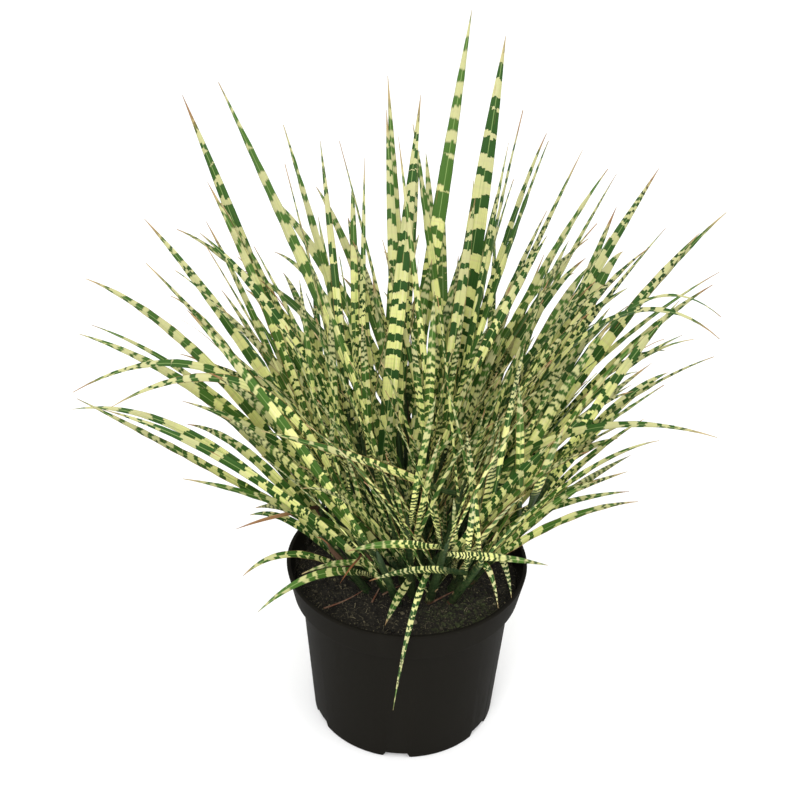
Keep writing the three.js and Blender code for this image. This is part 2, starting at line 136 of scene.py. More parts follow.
notch_height = NOTCH_HEIGHT + NOTCH_OVERSHOOT
notch_depth = NOTCH_DEPTH + NOTCH_OVERSHOOT
bpy.ops.mesh.primitive_cube_add(size=1)
cutter = bpy.context.object
edit_all()
bpy.ops.transform.resize(value=(notch_depth, NOTCH_FOOT_WIDTH, notch_height))
notch_mid = POT_RINGS[0][0] - NOTCH_DEPTH + notch_depth / 2
bpy.ops.transform.translate(value=(notch_mid, 0, notch_height / 2 - NOTCH_OVERSHOOT))
edit = bmesh.from_edit_mesh(cutter.data)
for vertex in edit.verts:
    vertex.select_set(vertex.co.z > 0)
edit.select_flush_mode()
bmesh.update_edit_mesh(cutter.data)
bpy.ops.transform.resize(
    value=(1, NOTCH_TOP_WIDTH / NOTCH_FOOT_WIDTH, 1), center_override=(0, 0, NOTCH_HEIGHT)
)
bpy.ops.object.mode_set(mode="OBJECT")
cutters = []
for i in range(NOTCHES):
    notch = cutter.copy()
    notch.data = cutter.data.copy()
    notch.data.transform(Matrix.Rotation(NOTCH_FIRST + i * math.tau / NOTCHES, 4, "Z"))
    bpy.context.collection.objects.link(notch)
    cutters.append(notch)
bpy.data.objects.remove(cutter)
for notch in cutters:
    finish_modifier(pot, "BOOLEAN", object=notch, operation="DIFFERENCE", solver="EXACT")
    bpy.data.objects.remove(notch)
face_out(pot)
finish_modifier(
    pot, "BEVEL", width=POT_SOFT_EDGE, segments=2, limit_method="ANGLE", angle_limit=math.radians(40)
)
smooth(pot, 35)


def fill(node, inputs):
    """Links each input of a shader node to a socket, or sets its value."""
    for key, value in inputs.items():
        if isinstance(value, bpy.types.NodeSocket):
            node.id_data.links.new(value, node.inputs[key])
        else:
            node.inputs[key].default_value = value


def add_node(kind, inputs, **settings):
    """Adds a shader node to the tree that its inputs come from, sets it and fills it."""
    sockets = [value for value in inputs.values() if isinstance(value, bpy.types.NodeSocket)]
    node = sockets[0].id_data.nodes.new(kind)
    for name, value in settings.items():
        setattr(node, name, value)
    fill(node, inputs)
    return node


def own_place(tree):
    """The place of each point on the piece itself, in metres."""
    return tree.nodes.new("ShaderNodeTexCoord").outputs["Object"]


def split(vector):
    """The three values of a vector, as sockets."""
    return add_node("ShaderNodeSeparateXYZ", {0: vector}).outputs


def work(operation, a, b=0.0, c=0.0):
    """One step of arithmetic on values."""
    return add_node("ShaderNodeMath", {0: a, 1: b, 2: c}, operation=operation).outputs[0]


def ramp(value, low, high, to_low=0.0, to_high=1.0):
    """A smooth step of a value from low to high."""
    inputs = {"Value": value, "From Min": low, "From Max": high, "To Min": to_low, "To Max": to_high}
    return add_node("ShaderNodeMapRange", inputs, interpolation_type="SMOOTHSTEP").outputs[0]


def blend(share, first, second):
    """A colour between two, by a share."""
    return add_node("ShaderNodeMix", {0: share, 6: first, 7: second}, data_type="RGBA").outputs[2]


def speckle(place, scale, detail=2.0, roughness=0.5):
    """Soft noise from 0 to 1 over a place."""
    inputs = {"Vector": place, "Scale": scale, "Detail": detail, "Roughness": roughness}
    return add_node("ShaderNodeTexNoise", inputs).outputs["Fac"]


def low_relief(height, strength, distance):
    """The normal of a surface that has the low relief of a height."""
    inputs = {"Height": height, "Strength": strength, "Distance": distance}
    return add_node("ShaderNodeBump", inputs).outputs[0]


def new_material(name):
    """An empty node material, its Principled shader and its tree."""
    material = bpy.data.materials.new(name)
    material.use_nodes = True
    tree = material.node_tree
    return material, tree, tree.nodes["Principled BSDF"]


def new_effect(name, inputs, outputs):
    """An empty node group with named sockets. Returns it, the sockets given to it and its result node."""
    tree = bpy.data.node_groups.new(name, "ShaderNodeTree")
    for in_out, sockets in (("INPUT", inputs), ("OUTPUT", outputs)):
        for socket, kind in sockets.items():
            tree.interface.new_socket(socket, in_out=in_out, socket_type=f"NodeSocket{kind}")
    given = tree.nodes.new("NodeGroupInput").outputs
    return tree, given, tree.nodes.new("NodeGroupOutput")


def apply_effect(effect, inputs):
    """Places a node group with its own values, and returns what it gives."""
    return add_node("ShaderNodeGroup", inputs, node_tree=effect).outputs


# Peat dust settles where the pot and the lowest stems are near the compost: a mask that is full at one
# height, gone at another, and broken up by noise.
settled_dust, given, result = new_effect(
    "settled_dust",
    {"Place": "Vector", "Full at": "Float", "Gone at": "Float", "Grain": "Float"},
    {"Dust": "Float"},
)
spot = given["Place"]
near = ramp(split(spot)["Z"], given["Full at"], given["Gone at"], 1.0, 0.0)
patches = ramp(speckle(spot, 60.0, 4.0, 0.6), 0.38, 0.62)
grains = ramp(speckle(spot, given["Grain"]), 0.45, 0.65)
fill(result, {"Dust": work("MULTIPLY", near, work("MULTIPLY", patches, grains))})


def dust_mask(place, heights, grain):
    """Settled dust on a material, full up to the first height and gone above the second."""
    inputs = {"Place": place, "Full at": heights[0], "Gone at": heights[1], "Grain": grain}
    return apply_effect(settled_dust, inputs)["Dust"]


pot_plastic, tree, shader = new_material("black_pot_plastic")
place = own_place(tree)
flow = add_node("ShaderNodeMapping", {"Vector": place, "Scale": (1.0, 1.0, 0.12)}).outputs[0]
scuffs = ramp(speckle(flow, 45.0, 6.0, 0.65), 0.50, 0.78, 0.0, 0.55)
plastic = blend(scuffs, POT_BLACK, POT_SCUFFED)
dust = dust_mask(place, POT_DUST_HEIGHTS, POT_DUST_GRAIN)
radial = add_node("ShaderNodeVectorMath", {0: place, 1: (1.0, 1.0, 0.0)}, operation="MULTIPLY")
radius = add_node("ShaderNodeVectorMath", {0: radial.outputs[0]}, operation="LENGTH").outputs["Value"]
height = split(place)["Z"]
wall_middle = work("MULTIPLY_ADD", height, WALL_LEAN, WALL_MIDDLE)
inside = ramp(work("SUBTRACT", radius, wall_middle), 0.0002, 0.0008, 1.0, 0.0)
inside = work("MULTIPLY", inside, ramp(height, *LEDGE_HEIGHTS))
finish = {
    "Base Color": blend(work("MULTIPLY", dust, inside), plastic, POT_DUST),
    "Roughness": ramp(scuffs, 0.0, 0.55, 0.60, 0.75),
    "Specular IOR Level": 0.02,
    "Normal": low_relief(speckle(place, 2600.0), 0.25, 0.00012),
}
fill(shader, finish)
pot.data.materials.append(pot_plastic)
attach(pot, "root")
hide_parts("pot")


# The compost is dark peat that fills the pot to 20 mm under the rim. It is turned like the pot, its top is
# inset ring by ring and raised to the CAD's swells, and two displacements crumble it.
COMPOST_SIDES = 240
COMPOST_FOOT_RADIUS = 0.07193
COMPOST_RINGS = [(0.0812, 0.1212), (0.0812, 0.1218), (0.0877, 0.1218), (0.0877, 0.1250)]
COMPOST_FOOT_Z = 0.0028
COMPOST_TOP_RINGS = 76
COMPOST_EDGE_Z = 0.125
COMPOST_RISE = 0.006
COMPOST_UNEVEN = 0.0016
COMPOST_MOUTH = 0.093
COMPOST_LUMPS = ((0.0075, 0.0034), (0.0026, 0.0022))
PEAT_BLACK = (0.0100, 0.0090, 0.0074, 1)
PEAT_BROWN = (0.0215, 0.0190, 0.0142, 1)
PEAT_FIBRE = (0.215, 0.186, 0.112, 1)
MOSS_GREEN = (0.050, 0.062, 0.024, 1)
MOSSY_SPOT = (0.046, -0.050, 0.128)


def compost_top(x, y):
    """Height of the compost's surface before it is crumbled, as in the CAD."""
    out = np.minimum(1, np.hypot(x, y) / COMPOST_MOUTH)
    swell = np.sin(x / 0.011 + 1.3) * np.cos(y / 0.013) + 0.6 * np.sin((x - y) / 0.0065)
    return COMPOST_EDGE_Z + COMPOST_RISE * (1 - out**2) + COMPOST_UNEVEN * swell * (1 - out**4)


def read_places(mesh):
    """A mesh's corners, as rows of x, y and z."""
    places = np.empty(3 * len(mesh.vertices))
    mesh.vertices.foreach_get("co", places)
    return places.reshape(-1, 3)


bpy.ops.mesh.primitive_circle_add(
    vertices=COMPOST_SIDES, radius=COMPOST_FOOT_RADIUS, fill_type="NGON", location=(0, 0, COMPOST_FOOT_Z)
)
compost = bpy.context.object
compost.name = "peat_compost"
bpy.ops.object.transform_apply()
edit_all()
turn_up(COMPOST_RINGS, COMPOST_FOOT_RADIUS, COMPOST_FOOT_Z)
for _ in range(COMPOST_TOP_RINGS):
    bpy.ops.mesh.inset(thickness=COMPOST_RINGS[-1][0] / (COMPOST_TOP_RINGS + 2))
bpy.ops.mesh.poke()
bpy.ops.object.mode_set(mode="OBJECT")
face_out(compost)
places = read_places(compost.data)
on_top = places[:, 2] > COMPOST_EDGE_Z - 1e-5
places[on_top, 2] = compost_top(places[on_top, 0], places[on_top, 1])
compost.data.vertices.foreach_set("co", places.ravel())
inner = on_top & (np.hypot(places[:, 0], places[:, 1]) < COMPOST_RINGS[-1][0] - 1e-4)
crumbly = compost.vertex_groups.new(name="crumbly")
crumbly.add(np.flatnonzero(inner).tolist(), 1.0, "REPLACE")
for size, strength in COMPOST_LUMPS:
    lumps = bpy.data.textures.new(f"lumps_{size}", "CLOUDS")
    lumps.noise_scale = size
    lumps.noise_depth = 2
    finish_modifier(
        compost,
        "DISPLACE",
        texture=lumps,
        texture_coords="LOCAL",
        strength=strength,
        mid_level=0.5,
        vertex_group="crumbly",
    )
smooth(compost, 80)

peat, tree, shader = new_material("peat")
place = own_place(tree)
clods = speckle(place, 260.0, 5.0, 0.7)
brown = blend(ramp(clods, 0.35, 0.7), PEAT_BLACK, PEAT_BROWN)
bits = ramp(speckle(place, 700.0, 3.0, 0.6), 0.58, 0.66, 0.0, 0.42)
fibred = blend(bits, brown, PEAT_FIBRE)
offset = add_node("ShaderNodeVectorMath", {0: place, 1: MOSSY_SPOT}, operation="DISTANCE")
mossy = ramp(offset.outputs["Value"], 0.012, 0.048, 0.6, 0.0)
tufts = ramp(speckle(place, 420.0, 4.0, 0.6), 0.48, 0.60)
finish = {
    "Base Color": blend(work("MULTIPLY", mossy, tufts), fibred, MOSS_GREEN),
    "Roughness": 0.95,
    "Specular IOR Level": 0.15,
    "Normal": low_relief(clods, 0.6, 0.0008),
}
fill(shader, finish)
compost.data.materials.append(peat)
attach(compost, "root")
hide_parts("soil")


# Loose crumbs of bark and peat lie on the compost. One lump and one fibre are modelled, and copies of them
# are turned, sized and scattered with a tone each: black, brown, straw, or moss where the pot is mossy.
CRUMBS = 1500
CRUMB_SIZES = (0.0004, 0.0017)
CRUMB_STRETCHED = (0.55, 1.5)
CRUMB_DENTED = (0.75, 1.25)
CRUMB_FLATTENED = 0.7
CRUMB_STANDS_OUT = (0.2, 0.8)
FINE_CRUMBS = 2.2
DARK_CRUMBS = 1.8
PALEST_CRUMB = 0.75
FIBRES = 320
FIBRE_LENGTHS = (0.0015, 0.0070)
FIBRE_WIDTH = 0.00028
FIBRE_WIDTH_VARIES = (0.6, 1.4)
FIBRE_TIP_SHARE = 0.05
FIBRE_SIDES = 3
FIBRE_STEPS = 5
FIBRE_CURL = 0.7
FIBRE_LIFT = 0.0009
FIBRE_ARCH = 0.0022
FIBRE_TONES = (0.55, 0.84)
SCATTER_RADIUS = 0.086
CRUMB_SEED = 11
MOSS_REACH = (0.01, 0.05)
MOSS_SHARE = 0.65
MOSS_TONES = (0.85, 1.0)


def between(limits, share):
    """The value at a share of the way from the first limit to the second."""
    return limits[0] + (limits[1] - limits[0]) * share


def take_apart(piece):
    """The corners and the faces of a modelled shape, which is then removed."""
    places = read_places(piece.data)
    faces = [list(face.vertices) for face in piece.data.polygons]
    bpy.data.objects.remove(piece)
    return places, faces


def unit_tube(sides, steps):
    """Corners and faces of a closed tube of radius 1, extruded up from a disc in steps of 1."""
    bpy.ops.mesh.primitive_circle_add(vertices=sides, radius=1, fill_type="NGON")
    tube = bpy.context.object
    edit_all()
    turn_up([(1, i + 1) for i in range(steps)], 1, 0)
    bpy.ops.object.mode_set(mode="OBJECT")
    face_out(tube)
    return take_apart(tube)


def add_piece(name, parts):
    """One new piece of many parts, each with its corners in metres and its faces."""
    faces = []
    first = 0
    for places, part_faces in parts:
        faces.extend([[first + k for k in face] for face in part_faces])
        first += len(places)
    mesh = bpy.data.meshes.new(name)
    mesh.from_pydata(np.concatenate([places for places, _ in parts]).tolist(), [], faces)
    piece = bpy.data.objects.new(name, mesh)
    bpy.context.collection.objects.link(piece)
    return piece


def store(mesh, name, kind, values):
    """Keeps a value or vector for each vertex."""
    attribute = mesh.attributes.new(name, kind, "POINT")
    field = "value" if kind == "FLOAT" else "vector"
    attribute.data.foreach_set(field, np.asarray(values, np.float32).ravel())


def read_kept(tree, name):
    """What a mesh keeps for each vertex, as the sockets of an Attribute node."""
    node = tree.nodes.new("ShaderNodeAttribute")
    node.attribute_name = name
    return node.outputs


def scatter_spot():
    """A random place on the compost."""
    out = SCATTER_RADIUS * math.sqrt(draw.random())
    angle = draw.uniform(0, math.tau)
    return out * math.cos(angle), out * math.sin(angle)


bpy.ops.mesh.primitive_ico_sphere_add(subdivisions=1, radius=1)
lump_places, lump_faces = take_apart(bpy.context.object)
fibre_places, fibre_faces = unit_tube(FIBRE_SIDES, FIBRE_STEPS)
litter_parts = []
litter_tones = []
draw = np.random.default_rng(CRUMB_SEED)
for _ in range(CRUMBS):
    x, y = scatter_spot()
    size = between(CRUMB_SIZES, draw.random() ** FINE_CRUMBS)
    stretched = size * draw.uniform(*CRUMB_STRETCHED, 3)
    shape = lump_places * stretched * draw.uniform(*CRUMB_DENTED, (len(lump_places), 1))
    turn = np.array(Matrix.Rotation(draw.uniform(0, math.tau), 3, Vector(draw.normal(size=3))))
    lying = (shape @ turn.T) * (1, 1, CRUMB_FLATTENED)
    z = compost_top(x, y) + size * draw.uniform(*CRUMB_STANDS_OUT)
    from_moss = math.hypot(x - MOSSY_SPOT[0], y - MOSSY_SPOT[1])
    mossy = from_moss < draw.uniform(*MOSS_REACH) and draw.random() < MOSS_SHARE
    tone = draw.uniform(*MOSS_TONES) if mossy else PALEST_CRUMB * draw.random() ** DARK_CRUMBS
    litter_parts.append((lying + (x, y, z), lump_faces))
    litter_tones.extend([tone] * len(lump_places))
for _ in range(FIBRES):
    x, y = scatter_spot()
    length = draw.uniform(*FIBRE_LENGTHS)
    heading = draw.uniform(0, math.tau)
    share = fibre_places[:, 2] / FIBRE_STEPS
    angle = heading + draw.uniform(-FIBRE_CURL, FIBRE_CURL) * share
    run = length * (share - 0.5)
    thin = FIBRE_WIDTH * draw.uniform(*FIBRE_WIDTH_VARIES) * (1 + FIBRE_TIP_SHARE - share)
    px = x + run * np.cos(angle) - fibre_places[:, 0] * thin * np.sin(angle)
    py = y + run * np.sin(angle) + fibre_places[:, 0] * thin * np.cos(angle)
    lift = FIBRE_LIFT + draw.uniform(0, FIBRE_ARCH) * np.sin(math.pi * share)
    pz = compost_top(px, py) + lift + fibre_places[:, 1] * thin
    litter_parts.append((np.stack([px, py, pz], axis=1), fibre_faces))
    litter_tones.extend([draw.uniform(*FIBRE_TONES)] * len(fibre_places))
litter = add_piece("compost_litter", litter_parts)
store(litter.data, "tone", "FLOAT", litter_tones)
face_out(litter)

crumb, tree, shader = new_material("bark_and_fibre")
tone = read_kept(tree, "tone")["Fac"]
place = own_place(tree)
dark = blend(ramp(tone, 0.0, 0.5), PEAT_BLACK, PEAT_BROWN)
straw = blend(ramp(tone, 0.5, 0.8), dark, PEAT_FIBRE)
green = blend(ramp(tone, 0.84, 0.88), straw, MOSS_GREEN)
grime = ramp(speckle(place, 1500.0), 0.3, 0.75, 0.0, 0.7)
finish = {
    "Base Color": blend(grime, green, PEAT_BLACK),
    "Roughness": 0.9,
    "Specular IOR Level": 0.2,
}
fill(shader, finish)
litter.data.materials.append(crumb)
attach(litter, "root")


# A few fallen straws and dead stalks lie on the compost, four in front of the clump and two behind it, dry
# and reddish brown. One straw is turned up from a disc and copies of it are bent from end to end.
STRAWS = [
    (-0.063, -0.044, -0.032, -0.028),
    (-0.026, -0.041, -0.018, -0.018),
    (-0.018, -0.032, -0.002, -0.022),
    (0.020, -0.038, 0.042, -0.022),
    (-0.040, 0.060, -0.062, 0.038),
    (0.058, 0.044, 0.030, 0.066),
]
STRAW_RADIUS = 0.00075
STRAW_FOOT_SHARE = 1.15
STRAW_TAPER = 0.75
STRAW_FLATTENED = 0.7
STRAW_STEPS = 10
STRAW_SIDES = 7
STRAW_BEND = 0.06
STRAW_LIFT = 0.0035
STRAW_LIFT_VARIES = (0.2, 1)
STRAW_REST = 0.0016
STRAW_RUST = (0.120, 0.048, 0.028, 1)
STRAW_GREY = (0.200, 0.140, 0.095, 1)

straw_places, straw_faces = unit_tube(STRAW_SIDES, STRAW_STEPS)
share = straw_places[:, 2] / STRAW_STEPS
thin = STRAW_RADIUS * (STRAW_FOOT_SHARE - STRAW_TAPER * share)
straw_parts = []
for x0, y0, x1, y1 in STRAWS:
    along = np.array([x1 - x0, y1 - y0])
    aside = np.array([-along[1], along[0]]) / np.hypot(*along)
    bend = STRAW_BEND * np.hypot(*along) * draw.uniform(-1, 1) * np.sin(math.pi * share)
    flat = np.array([x0, y0]) + along * share[:, None] + aside * (bend + straw_places[:, 0] * thin)[:, None]
    lift = STRAW_REST + STRAW_LIFT * draw.uniform(*STRAW_LIFT_VARIES) * share
    height = between((compost_top(x0, y0), compost_top(x1, y1)), share) + lift
    height = height + straw_places[:, 1] * thin * STRAW_FLATTENED
    straw_parts.append((np.column_stack([flat, height]), straw_faces))
straws = add_piece("fallen_straws", straw_parts)
face_out(straws)
smooth(straws, 50)

rusty_straw, tree, shader = new_material("rusty_straw")
place = own_place(tree)
weathered = ramp(speckle(place, 190.0, 5.0, 0.65), 0.42, 0.72)
finish = {
    "Base Color": blend(weathered, STRAW_RUST, STRAW_GREY),
    "Roughness": 0.8,
    "Specular IOR Level": 0.2,
}
fill(shader, finish)
straws.data.materials.append(rusty_straw)
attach(straws, "root")


# The clump is 34 leafy shoots. Each is a culm wrapped in leaf sheaths, and each sheath opens into a long
# blade, green banded with cream. They stand where the CAD has them: the same spiral, the same feature
# leaves, the same seeded ranks, and of each leaf's moves the one that the CAD took.
SHOOTS = 34
CLUMP_CENTRE = np.array([9.0, 6.0, 130.0])
CLUMP_RADIUS = 50
FAN_DEPTH = 84
INNER_STEM = 150
OUTER_STEM = 85
STEM_VARIES = (0.85, 1.15)
STEM_FOOT_RADIUS = 3.1
STEM_TOP_RADIUS = 1.8
SHOOT_SUNK = 24
KEEL = 1.2
KEEL_PER_WIDTH = 0.04
KEEL_AT_TIP = 0.4
ROOT_SHARE = 0.4
WIDEST_AT = 0.35
TAPER = 2.2
ROLLED_TO_LIGHT = 0.5
FEATURE_REACH = 0.5
FEATURE_ROLL = (-0.25, 0.25)
FEATURE_TWIST = (-0.3, 0.3)
LOWEST_FEATURE = 0.2
HIGHEST_FEATURE = 0.95
DROP_PER_RADIAN = 1.2
FOOT_SHARE = 0.17
CROWDING = 12
LEAVES_PER_SHOOT = 15
LEAVES_GIVEN_UP = 4
LOWEST_RANK = 0.1
ASIDE = (0.3, 1.4)
ASIDE_AT_FOOT = 1.2
ASIDE_AT_TOP = 0.6
LEAN_KEPT = 0.8
LEAN_AT_FOOT = 0.45
LEAN_AT_TOP = 0.05
LEAN_VARIES = (-0.18, 0.22)
MOST_LEAN = 0.95
FRONT_HELD = 0.5
FRONT_NARROWED = 0.35
FRONT_SHORTENED = 0.25
NEAREST_TIP = 120
FURTHEST_TIP = 365
REACHED_AT_FOOT = (0.1, 0.7)
REACHED_BY_RANK = 0.45
DROOP_SHORTENS = 0.5
RANK_WIDTH = (3.5, 8)
WIDTH_BY_REACH = 3
LEAST_ARCH = 0.02
ARCH_BY_LEAN = (0.08, 0.28)
RANK_REACH = (0.5, 0.65)
RANK_ROLL = (-0.5, 0.5)
RANK_TWIST = (-0.4, 0.4)
CLUMP_SEED = 20
STREAM_FACTOR = 1664525
STREAM_STEP = 1013904223
STREAM_SIZE = 2**32
GOLDEN_ANGLE = math.pi * (3 - math.sqrt(5))
UP = np.array([0.0, 0.0, 1.0])
MM = 0.001
SAME_TIP = 0.05
LEAF_PARTS = ("share", "tip", "width", "arch", "reach", "roll", "twist")

# Each feature leaf: tip x, y and z, width and arch in mm, where along it the arch lies, how far up its stem
# it grows, and the foot it grows from
FEATURE_LEAVES = [
    (35, 130, 545, 12, 5, None, None, (0, 25)),
    (60, 120, 530, 16, 5, None, None, (10, 28)),
    (-100, 100, 465, 12, 5, None, None, (-12, 30)),
    (0, 90, 495, 12, 5, None, None, (-7, 10)),
    (-25, 140, 490, 9, 10, None, None, None),
    (-25, 110, 475, 9, 20, None, None, None),
    (-15, 60, 475, 5, 5, None, None, None),
    (-40, 90, 445, 5, 5, None, None, None),
    (-145, 90, 500, 14, 10, None, None, (0, 12)),
    (-175, 110, 490, 12, 15, None, None, (-20, 8)),
    (-90, 60, 460, 5, 10, None, None, None),
    (-60, 120, 445, 4, 15, None, None, None),
    (-155, 100, 410, 6, 15, None, None, None),
    (-155, 60, 405, 6, 30, None, None, None),
    (-200, 60, 405, 10, 30, None, None, None),
    (-240, 30, 370, 12, 75, None, None, None),
    (-185, -20, 410, 10, 25, None, None, None),
    (-140, -40, 435, 7, 10, None, None, None),
    (-245, 10, 335, 9, 50, None, None, None),
    (-245, 50, 320, 6, 50, None, None, None),
    (-240, -40, 320, 9, 185, 0.3, None, None),
    (-205, -80, 330, 9, 165, 0.3, 0.8, (-18, -34)),
    (-245, -30, 295, 7, 85, 0.55, None, None),
    (-215, -60, 315, 8, 50, None, None, (-5, -35)),
    (-230, -70, 330, 9, 5, None, None, None),
    (-160, -74, 268, 9, 24, None, None, None),
    (-120, -80, 186, 6, 42, 0.6, None, (-38, -10)),
    (-108, -95, 165, 7, 40, None, None, (-25, -28)),
    (-77, -75, 186, 7, 28, None, None, (-18, -34)),
    (101, -90, 213, 6, 6, None, 0.8, (18, -35)),
    (-43, -90, 220, 7, 12, None, 0.9, (18, -35)),
    (-15, -80, 143, 6, 10, None, 0.2, (5, -27)),
    (-7, -122, 98, 5, 75, 0.6, 0.4, (5, -27)),
    (69, -75, 159, 6, 70, 0.6, None, (35, -34)),
    (79, -66, 162, 6, 55, 0.6, None, (45, -20)),
    (-34, -95, 214, 6, 16, None, 0.65, (35, -34)),
    (79, -108, 288, 10, 22, None, 0.1, (18, -35)),
    (-98, -115, 338, 9, 8, None, 0.95, (20, -33)),
    (61, -75, 321, 8, 5, None, 0.7, (35, -20)),
    (104, -85, 329, 8, 8, None, 0.9, (50, -14)),
    (165, -60, 250, 8, 30, None, 0.6, (35, -34)),
    (165, -20, 230, 6, 20, None, None, None),
    (160, -30, 255, 7, 15, None, None, None),
    (170, -70, 355, 8, 5, None, None, None),
    (210, -80, 325, 10, 118, 0.37, None, (28, -22)),
    (210, -30, 355, 7, 35, None, None, None),
    (210, -40, 375, 9, 175, 0.45, None, None),
    (220, 10, 365, 7, 165, 0.42, None, (55, 5)),
    (215, 30, 380, 11, 40, None, None, None),
    (230, 80, 365, 5, 40, None, None, None),
    (220, 70, 415, 12, 40, None, None, None),
    (180, 110, 435, 11, 10, None, None, None),
    (135, 60, 455, 11, 35, None, None, None),
    (150, 120, 425, 5, 20, None, None, None),
    (125, 140, 435, 6, 15, None, None, None),
    (70, 40, 505, 11, 15, None, None, (13, 20)),
    (65, 90, 460, 5, 5, None, None, None),
    (60, 120, 405, 7, 5, None, None, None),
    (185, 80, 400, 5, 20, None, None, None),
    (130, -20, 440, 5, 5, None, None, None),
    (205, 20, 340, 6, 60, None, None, None),
    (190, -10, 360, 6, 40, None, None, None),
    (-165, -30, 305, 7, 35, None, None, None),
    (-115, 20, 405, 6, 5, None, None, None),
    (-135, 60, 370, 7, 10, None, None, None),
]
# The moves that a leaf may make to lie clear of the others: a turn in degrees and a lift in mm
MOVES = [
    (0, 0), (2, 0), (-2, 0), (0, 8), (0, -8), (4, 5), (-4, 5), (4, -8), (-4, -8), (7, 12), (-7, 12),
    (10, -5), (-10, -5), (14, 15), (-14, 15),
]


def seeded_stream(state):
    """The CAD's repeatable stream of numbers from 0 to 1."""
    while True:
        state = (state * STREAM_FACTOR + STREAM_STEP) % STREAM_SIZE
        yield state / STREAM_SIZE


def unit(v):
    """A vector of length 1 in the same direction."""
    return v / np.linalg.norm(v)


def turned(v, axis, angle):
    """A vector, or rows of them, turned about a unit axis."""
    c, s = np.cos(angle), np.sin(angle)
    along = np.sum(v * axis, axis=-1, keepdims=True) * axis
    return v * c + np.cross(axis, v) * s + along * (1 - c)


def angle_between(a, b):
    """The angle between two vectors."""
    return math.acos(np.clip(unit(a) @ unit(b), -1, 1))


def on_stem(shoot, share):
    """The place at a share of the way up a shoot's stem."""
    return shoot["foot"] + shoot["axis"] * shoot["length"] * share


def plan_shoot(index):
    """One shoot on the sunflower spiral, leaning out from a point below the clump."""
    share = math.sqrt((index + 0.5) / SHOOTS)
    angle = index * GOLDEN_ANGLE
    out = np.array([math.cos(angle), math.sin(angle), 0])
    foot = CLUMP_CENTRE + CLUMP_RADIUS * share * out
    axis = unit(foot - (CLUMP_CENTRE - FAN_DEPTH * UP))
    length = between((INNER_STEM, OUTER_STEM), share) * between(STEM_VARIES, next(stream))
    return {"foot": foot, "axis": axis, "length": length, "leaves": []}


def share_feature_leaves():
    """Gives each feature leaf to the shoot that stands nearest to its foot and has few so far."""
    for x, y, z, width, arch, reach, up_stem, start in FEATURE_LEAVES:
        tip = np.array([x, y, z], float)
        wanted = np.array(start) if start else (CLUMP_CENTRE + FOOT_SHARE * (tip - CLUMP_CENTRE))[:2]
        costs = [np.hypot(*(s["foot"][:2] - wanted)) + CROWDING * len(s["leaves"]) for s in shoots]
        shoot = shoots[int(np.argmin(costs))]
        from_axis = angle_between(tip - shoot["foot"], shoot["axis"])
        share = up_stem or max(LOWEST_FEATURE, HIGHEST_FEATURE - DROP_PER_RADIAN * from_axis)
        roll = between(FEATURE_ROLL, next(stream))
        twist = between(FEATURE_TWIST, next(stream))
        leaf = (share, tip, width, arch, reach or FEATURE_REACH, roll, twist)
        shoot["leaves"].append(dict(zip(LEAF_PARTS, leaf)))


def add_rank_leaves(shoot):
    """Adds the leaves that climb a stem in two ranks, one to the left and the next to the right."""
    lean = angle_between(shoot["axis"], UP)
    facing = math.atan2(shoot["axis"][1], shoot["axis"][0])
    rank = 1 if next(stream) < 0.5 else -1
    count = LEAVES_PER_SHOOT - min(LEAVES_GIVEN_UP, len(shoot["leaves"]))
    for j in range(count):
        share = between((LOWEST_RANK, 1), j / (count - 1))
        side = -rank if j % 2 else rank
        aside = between(ASIDE, next(stream)) * between((ASIDE_AT_FOOT, ASIDE_AT_TOP), share)
        azimuth = facing + side * aside
        rise = between((LEAN_AT_FOOT, LEAN_AT_TOP), share) + between(LEAN_VARIES, next(stream))
        to_front = max(0, -math.sin(azimuth))
        held = 1 - FRONT_HELD * to_front
        lean_out = held * min(MOST_LEAN, LEAN_KEPT * lean + rise)
        reached = min(1, between(REACHED_AT_FOOT, next(stream)) + REACHED_BY_RANK * share)
        distance = between((NEAREST_TIP, FURTHEST_TIP), reached) * (1 - FRONT_SHORTENED * to_front)
        sine = math.sin(lean_out)
        heading = np.array([sine * math.cos(azimuth), sine * math.sin(azimuth), math.cos(lean_out)])
        width = between(RANK_WIDTH, next(stream)) + WIDTH_BY_REACH * reached
        width = width * (1 - FRONT_NARROWED * to_front)
        arch = distance * (LEAST_ARCH + between(ARCH_BY_LEAN, next(stream)) * sine)
        reach = between(RANK_REACH, next(stream))
        roll = between(RANK_ROLL, next(stream))
        twist = between(RANK_TWIST, next(stream))
        tip = shoot["foot"] + heading * distance * (1 - DROOP_SHORTENS * sine**2)
        leaf = (share, tip, width, arch, reach, roll, twist)
        shoot["leaves"].append(dict(zip(LEAF_PARTS, leaf)))


def settle_leaves(shoot, node):
    """Keeps each leaf at the first of its moves whose tip is a corner of the CAD's shoot."""
    corners = read_places(node.data) / MM
    kept = []
    for leaf in shoot["leaves"]:
        root = on_stem(shoot, leaf["share"])
        for turn, lift in MOVES:
            tip = turned(leaf["tip"] - root, UP, math.radians(turn)) + root + UP * lift
            if np.abs(corners - tip).max(axis=1).min() < SAME_TIP:
                kept.append({**leaf, "root": root, "tip": tip})
                break
    shoot["leaves"] = kept


stream = seeded_stream(CLUMP_SEED)
shoots = [plan_shoot(index) for index in range(SHOOTS)]
share_feature_leaves()
for shoot in shoots:
    add_rank_leaves(shoot)
for index, shoot in enumerate(shoots):
    settle_leaves(shoot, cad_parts[f"shoot_{index + 1:02d}"])


# One blade with its sheath is modelled flat: a row of eight strips is extruded up the sheath and the blade,
# and given a second face underneath. One culm is a disc extruded up its length.
BLADE_COLUMNS = 8
SHEATH_ROWS = 5
BLADE_ROWS = 32
ROW_CROWDING = 1.25
CULM_SIDES = 12
CULM_ROWS = 14

